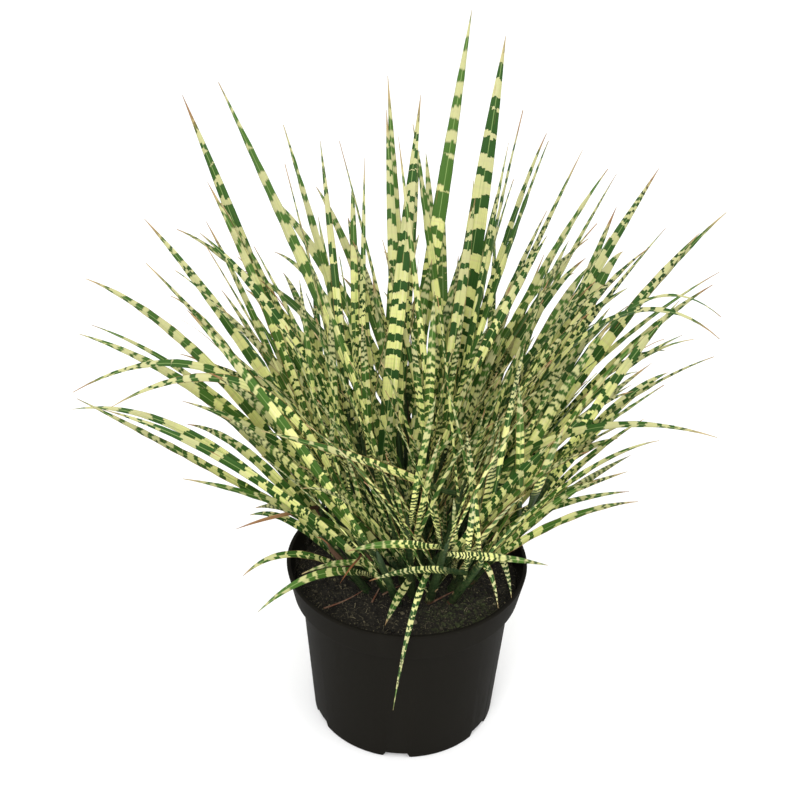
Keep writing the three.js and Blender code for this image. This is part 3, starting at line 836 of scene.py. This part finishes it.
bpy.ops.mesh.primitive_grid_add(x_subdivisions=BLADE_COLUMNS, y_subdivisions=1, size=2)
blade = bpy.context.object
places = read_places(blade.data)
places[:, 1] = np.where(places[:, 1] > 0, 1 - SHEATH_ROWS, -SHEATH_ROWS)
blade.data.vertices.foreach_set("co", places.ravel())
bpy.ops.object.mode_set(mode="EDIT")
edit = bmesh.from_edit_mesh(blade.data)
for vertex in edit.verts:
    vertex.select_set(vertex.co.y > 0.5 - SHEATH_ROWS)
edit.select_flush_mode()
bmesh.update_edit_mesh(blade.data)
for _ in range(SHEATH_ROWS - 1 + BLADE_ROWS):
    bpy.ops.mesh.extrude_region_move(TRANSFORM_OT_translate={"value": (0, 1, 0)})
bpy.ops.object.mode_set(mode="OBJECT")
finish_modifier(blade, "SOLIDIFY", thickness=1, offset=-1)
flat, blade_faces = take_apart(blade)
blade_side = flat[:, 0]
blade_row = flat[:, 1]
blade_under = -flat[:, 2]

culm_places, culm_faces = unit_tube(CULM_SIDES, CULM_ROWS)

# Blades are 0.26 mm thick and 0.5 mm at the midrib, and fold along it a little. A sheath is a thin sleeve
# round the culm that opens over the last 14 mm.
CURVE_STEPS = 200
BLADE_THICK = 0.26
MIDRIB_THICK = 0.5
MIDRIB_WIDTH = 0.9
THIN_AT_TIP = 0.5
GUTTER_POWER = 1.35
TIP_HALF_WIDTH = 0.12
SHEATH_LENGTH = 27
SHEATH_OPENS = (-2, 14)
SHEATH_THIN = 0.6
SHEATH_WRAP_FOOT = 2.5
SHEATH_WRAP_TOP = 1.7
SHEATH_OFF_CULM = 0.1
SHEATH_LAYERS = 3
SHEATH_LAYER = 0.12
MARGIN_RIPPLE = 0.3
RIPPLE_LENGTH = 24
RIPPLE_PER_ROLL = 9
LEAST_RIPPLED = 2
FOOT_PITCH = (3.4, 5.0)
LEAST_PITCH = 6.8
MOST_PITCH_SHARE = 0.06
PITCH_PER_WIDTH = (0.75, 1.5)
PITCH_GROWS_OVER = (6, 60)
PITCH_SHRINKS_OVER = (0.65, 1.0)
TIP_PITCH_SHARE = 0.7
PITCH_WANDERS = 0.38
WANDER_LENGTHS = ((14, 26), (30, 55))
CULM_IN_SHEATH = 0.1
CULM_SWELLS = 0.06
CULM_POINT_SHARE = 0.35
LEAF_NUMBERS = 1000
LEAF_SEED = 5
draw = np.random.default_rng(LEAF_SEED)


def smooth_step(x, low, high):
    """A smooth rise from 0 at one value to 1 at another."""
    t = np.clip((x - low) / (high - low), 0, 1)
    return t * t * (3 - 2 * t)


def width_share(t):
    """A leaf's width along it, as a share of its greatest."""
    rising = between((ROOT_SHARE, 1), np.sin(math.pi / 2 * np.clip(t / WIDEST_AT, 0, 1)))
    falling = 1 - np.clip((t - WIDEST_AT) / (1 - WIDEST_AT), 0, 1) ** TAPER
    return np.where(t < WIDEST_AT, rising, falling)


def bands_along(leaf, length):
    """How many bands are passed at each millimetre of a leaf, and how long a band is there."""
    at = np.arange(-SHEATH_LENGTH - 2, length + 3)
    foot = draw.uniform(*FOOT_PITCH)
    mid = min(LEAST_PITCH + leaf["width"] * draw.uniform(*PITCH_PER_WIDTH), MOST_PITCH_SHARE * length)
    pitch = between((foot, mid), smooth_step(at, *PITCH_GROWS_OVER))
    pitch = pitch * between((1, TIP_PITCH_SHARE), smooth_step(at / length, *PITCH_SHRINKS_OVER))
    wander = 0
    for lengths in WANDER_LENGTHS:
        wander = wander + np.sin(at / draw.uniform(*lengths) + draw.uniform(0, math.tau))
    pitch = pitch * np.exp(PITCH_WANDERS * wander)
    return at, np.cumsum(1 / pitch), pitch


def lay_blade(shoot, leaf, layer):
    """The flat blade's corners laid along a leaf's line, in mm, with what its bands need at each."""
    root, tip, width = leaf["root"], leaf["tip"], leaf["width"]
    line = tip - root
    control = root + line * leaf["reach"] + UP * leaf["arch"]
    side = unit(np.array([-line[1], line[0], 0]))

    def on_line(t):
        """The place at a share of the leaf's line."""
        return (1 - t) ** 2 * root + 2 * t * (1 - t) * control + t**2 * tip

    t = np.clip(blade_row / BLADE_ROWS, 0, 1) ** ROW_CROWDING
    tc = t[:, None]
    along = 2 * (1 - tc) * (control - root) + 2 * tc * (tip - control)
    along /= np.linalg.norm(along, axis=1, keepdims=True)
    to_light = ROLLED_TO_LIGHT * line[0] / np.linalg.norm(line)
    roll = (leaf["roll"] + leaf["twist"] * t + to_light)[:, None]
    face = np.cross(along, side * np.cos(roll) + np.cross(along, side) * np.sin(roll))
    across = np.cross(along, face)
    steps = np.linspace(0, 1, CURVE_STEPS)
    moved = np.diff(on_line(steps[:, None]), axis=0)
    lengths = np.concatenate([[0], np.cumsum(np.linalg.norm(moved, axis=1))])
    length = lengths[-1]
    distance = np.interp(t, steps, lengths)
    half = np.maximum(width * width_share(t) / 2, TIP_HALF_WIDTH)
    keel = (KEEL + KEEL_PER_WIDTH * width) * between((1, KEEL_AT_TIP), t)
    out = np.abs(blade_side)
    midrib = np.exp(-((out * half / MIDRIB_WIDTH) ** 2))
    thick = between((BLADE_THICK, MIDRIB_THICK), midrib) * between((1, THIN_AT_TIP), t)
    wave = np.sin(distance / RIPPLE_LENGTH * math.tau + RIPPLE_PER_ROLL * leaf["roll"])
    ripple = wave * MARGIN_RIPPLE * out**2 * np.sign(blade_side) * (half > LEAST_RIPPLED)
    depth = -(keel - thick) * (1 - out**GUTTER_POWER) + ripple - thick * blade_under
    blade_at = on_line(tc) + across * (blade_side * half)[:, None] + face * depth[:, None]

    axis = shoot["axis"]
    outward = -face[np.argmin(np.abs(blade_row))]
    outward = unit(outward - axis * (outward @ axis))
    sideways = np.cross(outward, axis)
    down = np.clip(-blade_row / SHEATH_ROWS, 0, 1) * SHEATH_LENGTH
    rise = np.where(blade_row < 0, -down, distance)
    stem_share = np.clip((rise + leaf["share"] * shoot["length"]) / shoot["length"], 0, 1)
    radius = between((STEM_FOOT_RADIUS, STEM_TOP_RADIUS), stem_share) + SHEATH_OFF_CULM
    radius = radius + layer * SHEATH_LAYER + thick * SHEATH_THIN * blade_under
    wrap = between((SHEATH_WRAP_TOP, SHEATH_WRAP_FOOT), down / SHEATH_LENGTH)
    turn = (blade_side * wrap)[:, None]
    on_axis = root + axis * rise[:, None]
    sheath_at = on_axis + radius[:, None] * (outward * np.cos(turn) + sideways * np.sin(turn))
    opened = smooth_step(rise, *SHEATH_OPENS)[:, None]
    at, passed, pitch = bands_along(leaf, length)
    place = np.stack([blade_side * half, rise, t], axis=1)
    number = np.full(len(t), draw.integers(LEAF_NUMBERS))
    bands = np.stack([np.interp(rise, at, passed), np.interp(rise, at, pitch), number], axis=1)
    return between((sheath_at, blade_at), opened), place, bands, length


def lay_culm(shoot):
    """The culm's corners along a stem, in mm: a little swollen at its joints and pointed at its top."""
    axis = shoot["axis"]
    side = unit(np.cross(UP, axis))
    other = np.cross(axis, side)
    step = culm_places[:, 2] / CULM_ROWS
    share = between((-SHOOT_SUNK / shoot["length"], 1), step)
    radius = between((STEM_FOOT_RADIUS, STEM_TOP_RADIUS), np.clip(share, 0, 1)) - CULM_IN_SHEATH
    radius = radius * (1 + CULM_SWELLS * np.cos(culm_places[:, 2] * math.pi))
    radius = radius * np.where(culm_places[:, 2] > CULM_ROWS - 0.5, CULM_POINT_SHARE, 1)
    ring = culm_places[:, :1] * side + culm_places[:, 1:2] * other
    return shoot["foot"] + axis * (shoot["length"] * share)[:, None] + ring * radius[:, None], share


# Fine parallel veins run along every blade and sheath. They give it streaks and broader stripes of tone,
# and a low relief.
VEIN_GAP = 0.62
VEIN_MARKS = {"Streak": (1.7, 0.035), "Stripe": (0.62, 0.016)}
SEEDS_APART = 3.7


def join(x, y, z):
    """A vector of three values."""
    return add_node("ShaderNodeCombineXYZ", {0: x, 1: y, 2: z}).outputs[0]


leaf_veins, given, result = new_effect(
    "leaf_veins",
    {"Across": "Float", "Along": "Float", "Seed": "Float"},
    {"Streak": "Float", "Stripe": "Float", "Relief": "Float"},
)
across, along, seed = (given[name] for name in ("Across", "Along", "Seed"))
apart = work("MULTIPLY", seed, SEEDS_APART)
for mark, (per_across, per_along) in VEIN_MARKS.items():
    spot = join(work("MULTIPLY", across, per_across), work("MULTIPLY", along, per_along), apart)
    fill(result, {mark: speckle(spot, 1.0, 3.0, 0.6)})
fill(result, {"Relief": work("SINE", work("MULTIPLY", across, math.tau / VEIN_GAP))})


def vein_marks(across, along, seed):
    """The streaks, stripes and relief of the veins, as sockets."""
    veins = apply_effect(leaf_veins, {"Across": across, "Along": along, "Seed": seed})
    return [veins[name] for name in ("Streak", "Stripe", "Relief")]


# The banded blade is cream and green in turn. Every band begins and ends at places of its own on each half
# and on each strip of veins, and bows towards the tip. One effect works out how deep in one band a point
# of the leaf lies.
BAND_INPUTS = ("Cell", "Band", "Pitch", "Side", "Bow", "Climb", "Number")
BAND_STEP = 2.1
BAND_HALF_STEP = 6.4
HALF_STEP_PER_STEP = 1.9
BAND_STEP_AT_FOOT = 0.12
BAND_STEP_AT_TOP = 0.20
VEIN_STRIPS = 2.1
HALF_ROW = 50.0
END_ROW = 100.5
LENGTH_ROW = 200.5
END_FOLLOWS = 0.7
SHORT_AT_FOOT = (0.38, 0.80)
LONG_AT_TOP = (0.36, 0.98)
LONG_POWER = 2.8
BOW_AT_FOOT = 0.27
BOW_AT_TOP = 0.16
RAGGED_AT_FOOT = 1.2
RAGGED_AT_TOP = 3.0


def white_noise(first, second, third=0.0):
    """A random value from 0 to 1 for three whole numbers."""
    inputs = {"Vector": join(first, second, third)}
    return add_node("ShaderNodeTexWhiteNoise", inputs, noise_dimensions="3D").outputs["Value"]


def mix(share, first, second):
    """A value between two, by a share."""
    return add_node("ShaderNodeMix", {0: share, 2: first, 3: second}).outputs[0]


one_band, given, result = new_effect(
    "one_band", dict.fromkeys(BAND_INPUTS, "Float"), {"Depth": "Float", "Length": "Float"}
)
cell, band, pitch, side, bow, climb, number = (given[name] for name in BAND_INPUTS)


def random_step(row, limit, largest):
    """A step to or fro that is the same all along one row of one band."""
    away = work("MULTIPLY_ADD", white_noise(row, cell, number), 2.0, -1.0)
    return work("MULTIPLY", away, work("MINIMUM", limit, largest / 2))


strip = work("FLOOR", work("MULTIPLY", side, VEIN_STRIPS))
half = work("ADD", work("SIGN", side), HALF_ROW)
most = work("MULTIPLY", pitch, mix(climb, BAND_STEP_AT_FOOT, BAND_STEP_AT_TOP))
half_step = random_step(half, work("MULTIPLY", most, HALF_STEP_PER_STEP), BAND_HALF_STEP)
begin = work("ADD", random_step(strip, most, BAND_STEP), half_step)
end_step = random_step(work("ADD", strip, END_ROW), most, BAND_STEP)
chance = white_noise(LENGTH_ROW, cell, number)
short = mix(chance, *SHORT_AT_FOOT)
long = mix(work("POWER", chance, LONG_POWER), *LONG_AT_TOP)
length = work("MULTIPLY", mix(climb, short, long), pitch)
end = work("ADD", length, work("MULTIPLY_ADD", begin, END_FOLLOWS, end_step))
at = work("MULTIPLY_ADD", work("SUBTRACT", band, cell), pitch, bow)
depth = work("MINIMUM", work("SUBTRACT", at, begin), work("SUBTRACT", end, at))
fill(result, {"Depth": depth, "Length": length})

CREAM = (0.745, 0.755, 0.265, 1)
CREAM_PALE = (0.77, 0.765, 0.42, 1)
CREAM_WARM = (0.68, 0.63, 0.265, 1)
CREAM_GREEN = (0.36, 0.45, 0.11, 1)
# A darker, duller cream for the blades' outer ends, and as painted shade on the blades low in the clump
CREAM_DIM_AND_SHADED = (0.395, 0.385, 0.205, 1)
BAND_GREEN = (0.058, 0.132, 0.020, 1)
BAND_DEEP = (0.021, 0.068, 0.011, 1)
BAND_SHORT = (0.009, 0.026, 0.005, 1)
MIDRIB_PALE = (0.26, 0.36, 0.12, 1)
DRY_RUST = (0.27, 0.115, 0.048, 1)
DRY_STRAW = (0.46, 0.35, 0.18, 1)
GREEN_FOOT = 5.0
GREEN_FOOT_VARIES = 38.0
# The sheaths' and culms' own dark green, deepened as painted shade at the foot of the clump
SHEATH_GREEN_AND_SHADE = (0.012, 0.030, 0.009, 1)
SHEATH_PALE = (0.050, 0.082, 0.024, 1)
SHEATH_DUST_HEIGHTS = (0.130, 0.160)
STEM_DUST_GRAIN = 700.0

banded, tree, shader = new_material("banded_blade")
across, along, share = split(read_kept(tree, "blade_place")["Vector"])
band, pitch, number = split(read_kept(tree, "blade_bands")["Vector"])
number = work("ROUND", number)
side = read_kept(tree, "blade_side")["Fac"]
climb = read_kept(tree, "blade_climb")["Fac"]
streak, stripe, relief = vein_marks(across, along, number)

bow = work("ABSOLUTE", work("MULTIPLY", across, side))
bow = work("MULTIPLY", bow, ramp(climb, 0.1, 0.9, BOW_AT_FOOT, BOW_AT_TOP))
ragged = ramp(climb, 0.0, 1.0, RAGGED_AT_FOOT, RAGGED_AT_TOP)
bow = work("MULTIPLY_ADD", work("SUBTRACT", stripe, 0.5), ragged, bow)
here = work("FLOOR", band)
depth, length = -100.0, 0.0
for neighbour in (-1.0, 0.0, 1.0):
    cell = work("ADD", here, neighbour)
    inputs = dict(zip(BAND_INPUTS, (cell, band, pitch, side, bow, climb, number)))
    one = apply_effect(one_band, inputs)
    nearer = work("GREATER_THAN", one["Depth"], depth)
    length = mix(nearer, length, one["Length"])
    depth = work("MAXIMUM", depth, one["Depth"])
leaf_tone = white_noise(number, 3.0)
fades = work("MULTIPLY", ramp(share, 0.25, 0.75), leaf_tone)
soft = work("MULTIPLY_ADD", fades, 1.3, 0.16)
green_here = ramp(depth, work("MULTIPLY", soft, -1.0), soft)

deep = work("MULTIPLY_ADD", streak, 0.7, work("MULTIPLY_ADD", leaf_tone, 0.6, -0.15))
green = blend(ramp(deep, 0.15, 0.75), BAND_DEEP, BAND_GREEN)
midrib = ramp(work("ABSOLUTE", across), 0.12, 0.42, 0.7, 0.0)
green = blend(midrib, green, MIDRIB_PALE)
green = blend(ramp(length, 1.2, 4.5), BAND_SHORT, green)
green = blend(ramp(depth, 0.1, 1.3, 0.45, 0.0), green, BAND_SHORT)
warm_at = work("MULTIPLY_ADD", along, 0.06, number)
mottle = add_node("ShaderNodeTexNoise", {"W": warm_at}, noise_dimensions="1D").outputs["Fac"]
cream = blend(ramp(mottle, 0.46, 0.72, 0.0, 0.8), CREAM, CREAM_WARM)
cream = blend(ramp(stripe, 0.50, 0.66, 0.0, 0.75), cream, CREAM_GREEN)
cream = blend(ramp(stripe, 0.34, 0.46, 0.6, 0.0), cream, CREAM_PALE)
place = own_place(tree)
height = split(place)["Z"]
# The cream grows darker and duller towards each blade's outer end. On blades low in the clump it is
# darkened further as painted shade.
duller_to_tip = ramp(share, 0.35, 0.75, 0.0, 0.8)
painted_shade_low = ramp(height, 0.15, 0.25, 0.5, 0.0)
cream = blend(work("MAXIMUM", duller_to_tip, painted_shade_low), cream, CREAM_DIM_AND_SHADED)
colour = blend(green_here, cream, green)
# Some blades have a dark green line along their margins: partly the blade's own margin, partly painted
# shade that parts one leaf from the next.
edge = ramp(work("ABSOLUTE", side), 0.88, 0.98)
green_margin_and_shade = ramp(white_noise(number, 17.0), 0.2, 0.6, 0.15, 0.65)
colour = blend(work("MULTIPLY", edge, green_margin_and_shade), colour, BAND_DEEP)
reddish = ramp(white_noise(number, 5.0), 0.65, 0.80, 0.0, 0.7)
colour = blend(work("MULTIPLY", edge, reddish), colour, DRY_RUST)
rust_place = join(work("MULTIPLY", across, 0.9), work("MULTIPLY", along, 0.04), number)
rusted = ramp(speckle(rust_place, 1.0), 0.70, 0.76, 0.0, 0.75)
colour = blend(rusted, colour, DRY_RUST)
tip_from = work("MULTIPLY_ADD", white_noise(number, 7.0), 0.10, 0.885)
tip_end = work("ADD", tip_from, 0.07)
tip_dry = ramp(work("MULTIPLY_ADD", streak, 0.03, share), tip_from, tip_end, 0.0, 0.85)
dry = blend(white_noise(number, 11.0), DRY_RUST, DRY_STRAW)
colour = blend(tip_dry, colour, dry)
# Where a blade wraps the culm its sheath is dark green and streaked. Its darkest green is partly painted
# shade at the clump's foot.
sheath = blend(ramp(streak, 0.45, 0.75, 0.0, 0.8), SHEATH_GREEN_AND_SHADE, SHEATH_PALE)
green_to = work("MULTIPLY_ADD", white_noise(number, 13.0), GREEN_FOOT_VARIES, GREEN_FOOT)
green_from = work("SUBTRACT", green_to, 16.0)
colour = blend(ramp(along, green_from, green_to, 0.96, 0.0), colour, sheath)
colour = blend(dust_mask(place, SHEATH_DUST_HEIGHTS, STEM_DUST_GRAIN), colour, PEAT_BROWN)
finish = {
    "Base Color": colour,
    "Roughness": ramp(streak, 0.2, 0.8, 0.42, 0.58),
    "Specular IOR Level": 0.14,
    "Normal": low_relief(relief, 0.25, 0.00006),
}
fill(shader, finish)

# Dead blades, some of the papery scale leaves at the foot, and hair-thin dry wisps that stand out of the
# clump are rust and straw coloured, streaked along their veins, and darker where they leave the stem.
DRY_FOOT = (0.075, 0.040, 0.022, 1)
dry_blade, tree, shader = new_material("dry_blade")
across, along, share = split(read_kept(tree, "blade_place")["Vector"])
number = work("ROUND", split(read_kept(tree, "blade_bands")["Vector"])[2])
streak, stripe, relief = vein_marks(across, along, number)
tone = work("MULTIPLY_ADD", white_noise(number, 5.0), 0.8, -0.4)
dry = blend(ramp(work("ADD", streak, tone), 0.35, 1.0), DRY_RUST, DRY_STRAW)
finish = {
    "Base Color": blend(ramp(along, 4.0, 24.0), DRY_FOOT, dry),
    "Roughness": 0.8,
    "Specular IOR Level": 0.2,
    "Normal": low_relief(relief, 0.4, 0.00008),
}
fill(shader, finish)

# Culms show between the lowest sheaths, and the other scale leaves wrap them: green, streaked, and dusty
# with peat at the foot. Their darkest green is deepened as painted shade.
CULM_DUST_HEIGHTS = (0.132, 0.160)
culm_green, tree, shader = new_material("culm_green")
across, along, share = split(read_kept(tree, "blade_place")["Vector"])
streak = vein_marks(across, along, share)[0]
stem = blend(ramp(streak, 0.4, 0.75), SHEATH_GREEN_AND_SHADE, SHEATH_PALE)
place = own_place(tree)
dust = dust_mask(place, CULM_DUST_HEIGHTS, STEM_DUST_GRAIN)
finish = {
    "Base Color": blend(dust, stem, PEAT_BROWN),
    "Roughness": 0.5,
    "Specular IOR Level": 0.3,
}
fill(shader, finish)

# Every shoot is then joined from its leaves and its culm. Scale leaves sit at its foot, three shoots have a
# dead blade, and some of those behind a dry wisp. Each leaf gets a strip of the bake map.
SCALES_PER_SHOOT = 2
SCALE_LENGTHS = (14, 30)
SCALE_WIDTH = 2.8
SCALE_ROOTS = (0.0, 0.12)
SCALE_OUT = 0.22
SCALE_SPREAD = 3
SCALE_ARCH = 0.04
DRY_SCALE_SHARE = 0.2
# By the shoot's index: where on the stem the blade grows, its tip and its width in mm
DEAD_BLADES = {
    25: (1.0, (-126, -60, 214), 3.2),
    33: (0.75, (-66, -64, 212), 2.2),
    20: (0.6, (-48, -84, 186), 1.6),
}
DEAD_ARCH = 6
WISP_EVERY = 3
WISP_LENGTHS = (120, 200)
WISP_ROOT = 0.9
WISP_UP = 0.8
WISP_OUT = 0.2
WISP_SPREAD = 1.2
WISP_WIDTH = 0.8
WISP_ARCH = 0.2
WISP_REACH = 0.6
SMALL_ROLL = (-0.3, 0.3)
SMALL_TWIST = (-0.4, 0.4)
CLIMB_ALONG = (8, 75)
CLIMB_LENGTHS = (110, 230)
CULM_VEINS_AROUND = 2.5
BLADE_STRIP_SHARE = 0.44
CULM_STRIP_SHARE = 0.88
BAKE_MARGIN = 0.01
BLADE, DRY, CULM = 0, 1, 2


def tip_off_stem(shoot, share, length, up, out, spread):
    """A tip up and out from a share of the stem, within an angle of the way that the shoot leans."""
    facing = math.atan2(shoot["axis"][1], shoot["axis"][0])
    angle = facing + draw.uniform(-spread, spread)
    heading = shoot["axis"] * up + np.array([math.cos(angle), math.sin(angle), 0]) * out
    return on_stem(shoot, share) + heading * length


def small_leaf(shoot, share, tip, width, arch, reach=FEATURE_REACH):
    """A leaf that the CAD leaves out, from a share of the stem to its tip."""
    roll = draw.uniform(*SMALL_ROLL)
    twist = draw.uniform(*SMALL_TWIST)
    leaf = dict(zip(LEAF_PARTS, (share, tip, width, arch, reach, roll, twist)))
    return {**leaf, "root": on_stem(shoot, share)}


def small_leaves(index, shoot):
    """A shoot's scale leaves, and its dead blade or dry wisp if it has one, each with its material."""
    found = []
    for _ in range(SCALES_PER_SHOOT):
        length = draw.uniform(*SCALE_LENGTHS)
        share = draw.uniform(*SCALE_ROOTS)
        tip = tip_off_stem(shoot, share, length, 1, SCALE_OUT, SCALE_SPREAD)
        scale = small_leaf(shoot, share, tip, SCALE_WIDTH, SCALE_ARCH * length)
        found.append((scale, DRY if draw.random() < DRY_SCALE_SHARE else CULM))
    if index in DEAD_BLADES:
        share, tip, width = DEAD_BLADES[index]
        found.append((small_leaf(shoot, share, np.array(tip, float), width, DEAD_ARCH), DRY))
    if index % WISP_EVERY == 0 and shoot["axis"][1] > 0:
        length = draw.uniform(*WISP_LENGTHS)
        tip = tip_off_stem(shoot, WISP_ROOT, length, WISP_UP, WISP_OUT, WISP_SPREAD)
        wisp = small_leaf(shoot, WISP_ROOT, tip, WISP_WIDTH, WISP_ARCH * length, WISP_REACH)
        found.append((wisp, DRY))
    return found


for index, shoot in enumerate(shoots):
    leaves = [(leaf, BLADE) for leaf in shoot["leaves"]] + small_leaves(index, shoot)
    strips = len(leaves) + 1
    parts = []
    kinds = []
    rows = []
    for order, (leaf, kind) in enumerate(leaves):
        at, place, bands, length = lay_blade(shoot, leaf, order % SHEATH_LAYERS)
        climb = smooth_step(place[:, 1], *CLIMB_ALONG) * smooth_step(length, *CLIMB_LENGTHS)
        strip = (order + 0.5 + BLADE_STRIP_SHARE * blade_side) / strips
        up = (place[:, 1] + SHEATH_LENGTH) / (length + SHEATH_LENGTH)
        parts.append((at * MM, blade_faces))
        kinds.extend([kind] * len(blade_faces))
        rows.append((place, bands, blade_side, climb, np.stack([strip, up], axis=1)))
    at, share = lay_culm(shoot)
    around = np.arctan2(culm_places[:, 1], culm_places[:, 0])
    seeds = np.full(len(at), index / SHOOTS)
    place = np.stack([CULM_VEINS_AROUND * around, share * shoot["length"], seeds], axis=1)
    strip = (strips - 0.5 + CULM_STRIP_SHARE * around / math.tau) / strips
    unbanded = np.zeros(len(at))
    parts.append((at * MM, culm_faces))
    kinds.extend([CULM] * len(culm_faces))
    flat_map = np.stack([strip, np.clip(share, 0, 1)], axis=1)
    rows.append((place, np.zeros((len(at), 3)), unbanded, unbanded, flat_map))
    place, bands, side, climb, bake_map = (np.concatenate(column) for column in zip(*rows))
    bake_map[:, 1] = between((BAKE_MARGIN, 1 - BAKE_MARGIN), bake_map[:, 1])
    piece = add_piece(f"leafy_shoot_{index + 1:02d}", parts)
    mesh = piece.data
    mesh.polygons.foreach_set("material_index", kinds)
    store(mesh, "blade_place", "FLOAT_VECTOR", place)
    store(mesh, "blade_bands", "FLOAT_VECTOR", bands)
    store(mesh, "blade_side", "FLOAT", side)
    store(mesh, "blade_climb", "FLOAT", climb)
    corners = np.empty(len(mesh.loops), int)
    mesh.loops.foreach_get("vertex_index", corners)
    unwrapped = mesh.uv_layers.new(name="OFBake")
    unwrapped.data.foreach_set("uv", bake_map[corners].ravel())
    for material in (banded, dry_blade, culm_green):
        mesh.materials.append(material)
    mesh.validate()
    smooth(piece, 60)
    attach(piece, "root")
    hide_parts(f"shoot_{index + 1:02d}")


# The pot stands on a plain pale floor. It is lit softly and evenly by a white sky and two broad lamps in
# front, and is seen from the photograph's viewpoint.
FLOOR_SIZE = 12.0
FLOOR_WHITE = (0.96, 0.96, 0.96, 1)
CAMERA_PLACE = Vector((0.0, -0.94173, 0.88873))
CAMERA_AIM = Vector((-0.00864, 0.0, 0.29226))
CAMERA_ROLL = math.radians(1.43)
LENS = 67.9
SENSOR_WIDTH = 36.0
SKY = 1.14
SKY_WHITE = (1, 1, 1, 1)
LAMP_AIM = Vector((0, 0, 0.25))
# Each lamp's place, size and power
LAMPS = [
    ((-0.35, -1.9, 1.75), 1.3, 33.0),
    ((1.4, -0.9, 1.6), 1.4, 8.25),
]

bpy.ops.mesh.primitive_plane_add(size=FLOOR_SIZE)
floor = bpy.context.object
floor.name = "studio_floor"
pale, _, shader = new_material("pale_floor")
fill(shader, {"Base Color": FLOOR_WHITE, "Roughness": 0.9})
floor.data.materials.append(pale)

world = bpy.data.worlds.new("soft_studio")
world.use_nodes = True
background = world.node_tree.nodes["Background"]
fill(background, {"Color": SKY_WHITE, "Strength": SKY})
bpy.context.scene.world = world
for place, size, power in LAMPS:
    bpy.ops.object.light_add(type="AREA", location=place)
    lamp = bpy.context.object
    lamp.data.size = size
    lamp.data.energy = power
    lamp.rotation_euler = (LAMP_AIM - Vector(place)).to_track_quat("-Z", "Y").to_euler()

bpy.ops.object.camera_add(location=CAMERA_PLACE)
camera = bpy.context.object
camera.data.lens = LENS
camera.data.sensor_width = SENSOR_WIDTH
camera.data.dof.use_dof = False
looking = (CAMERA_AIM - CAMERA_PLACE).to_track_quat("-Z", "Y").to_matrix()
rolled = looking @ Matrix.Rotation(CAMERA_ROLL, 3, "Z")
camera.rotation_euler = rolled.to_euler()
bpy.context.scene.camera = camera
bpy.context.scene.view_settings.view_transform = "Standard"
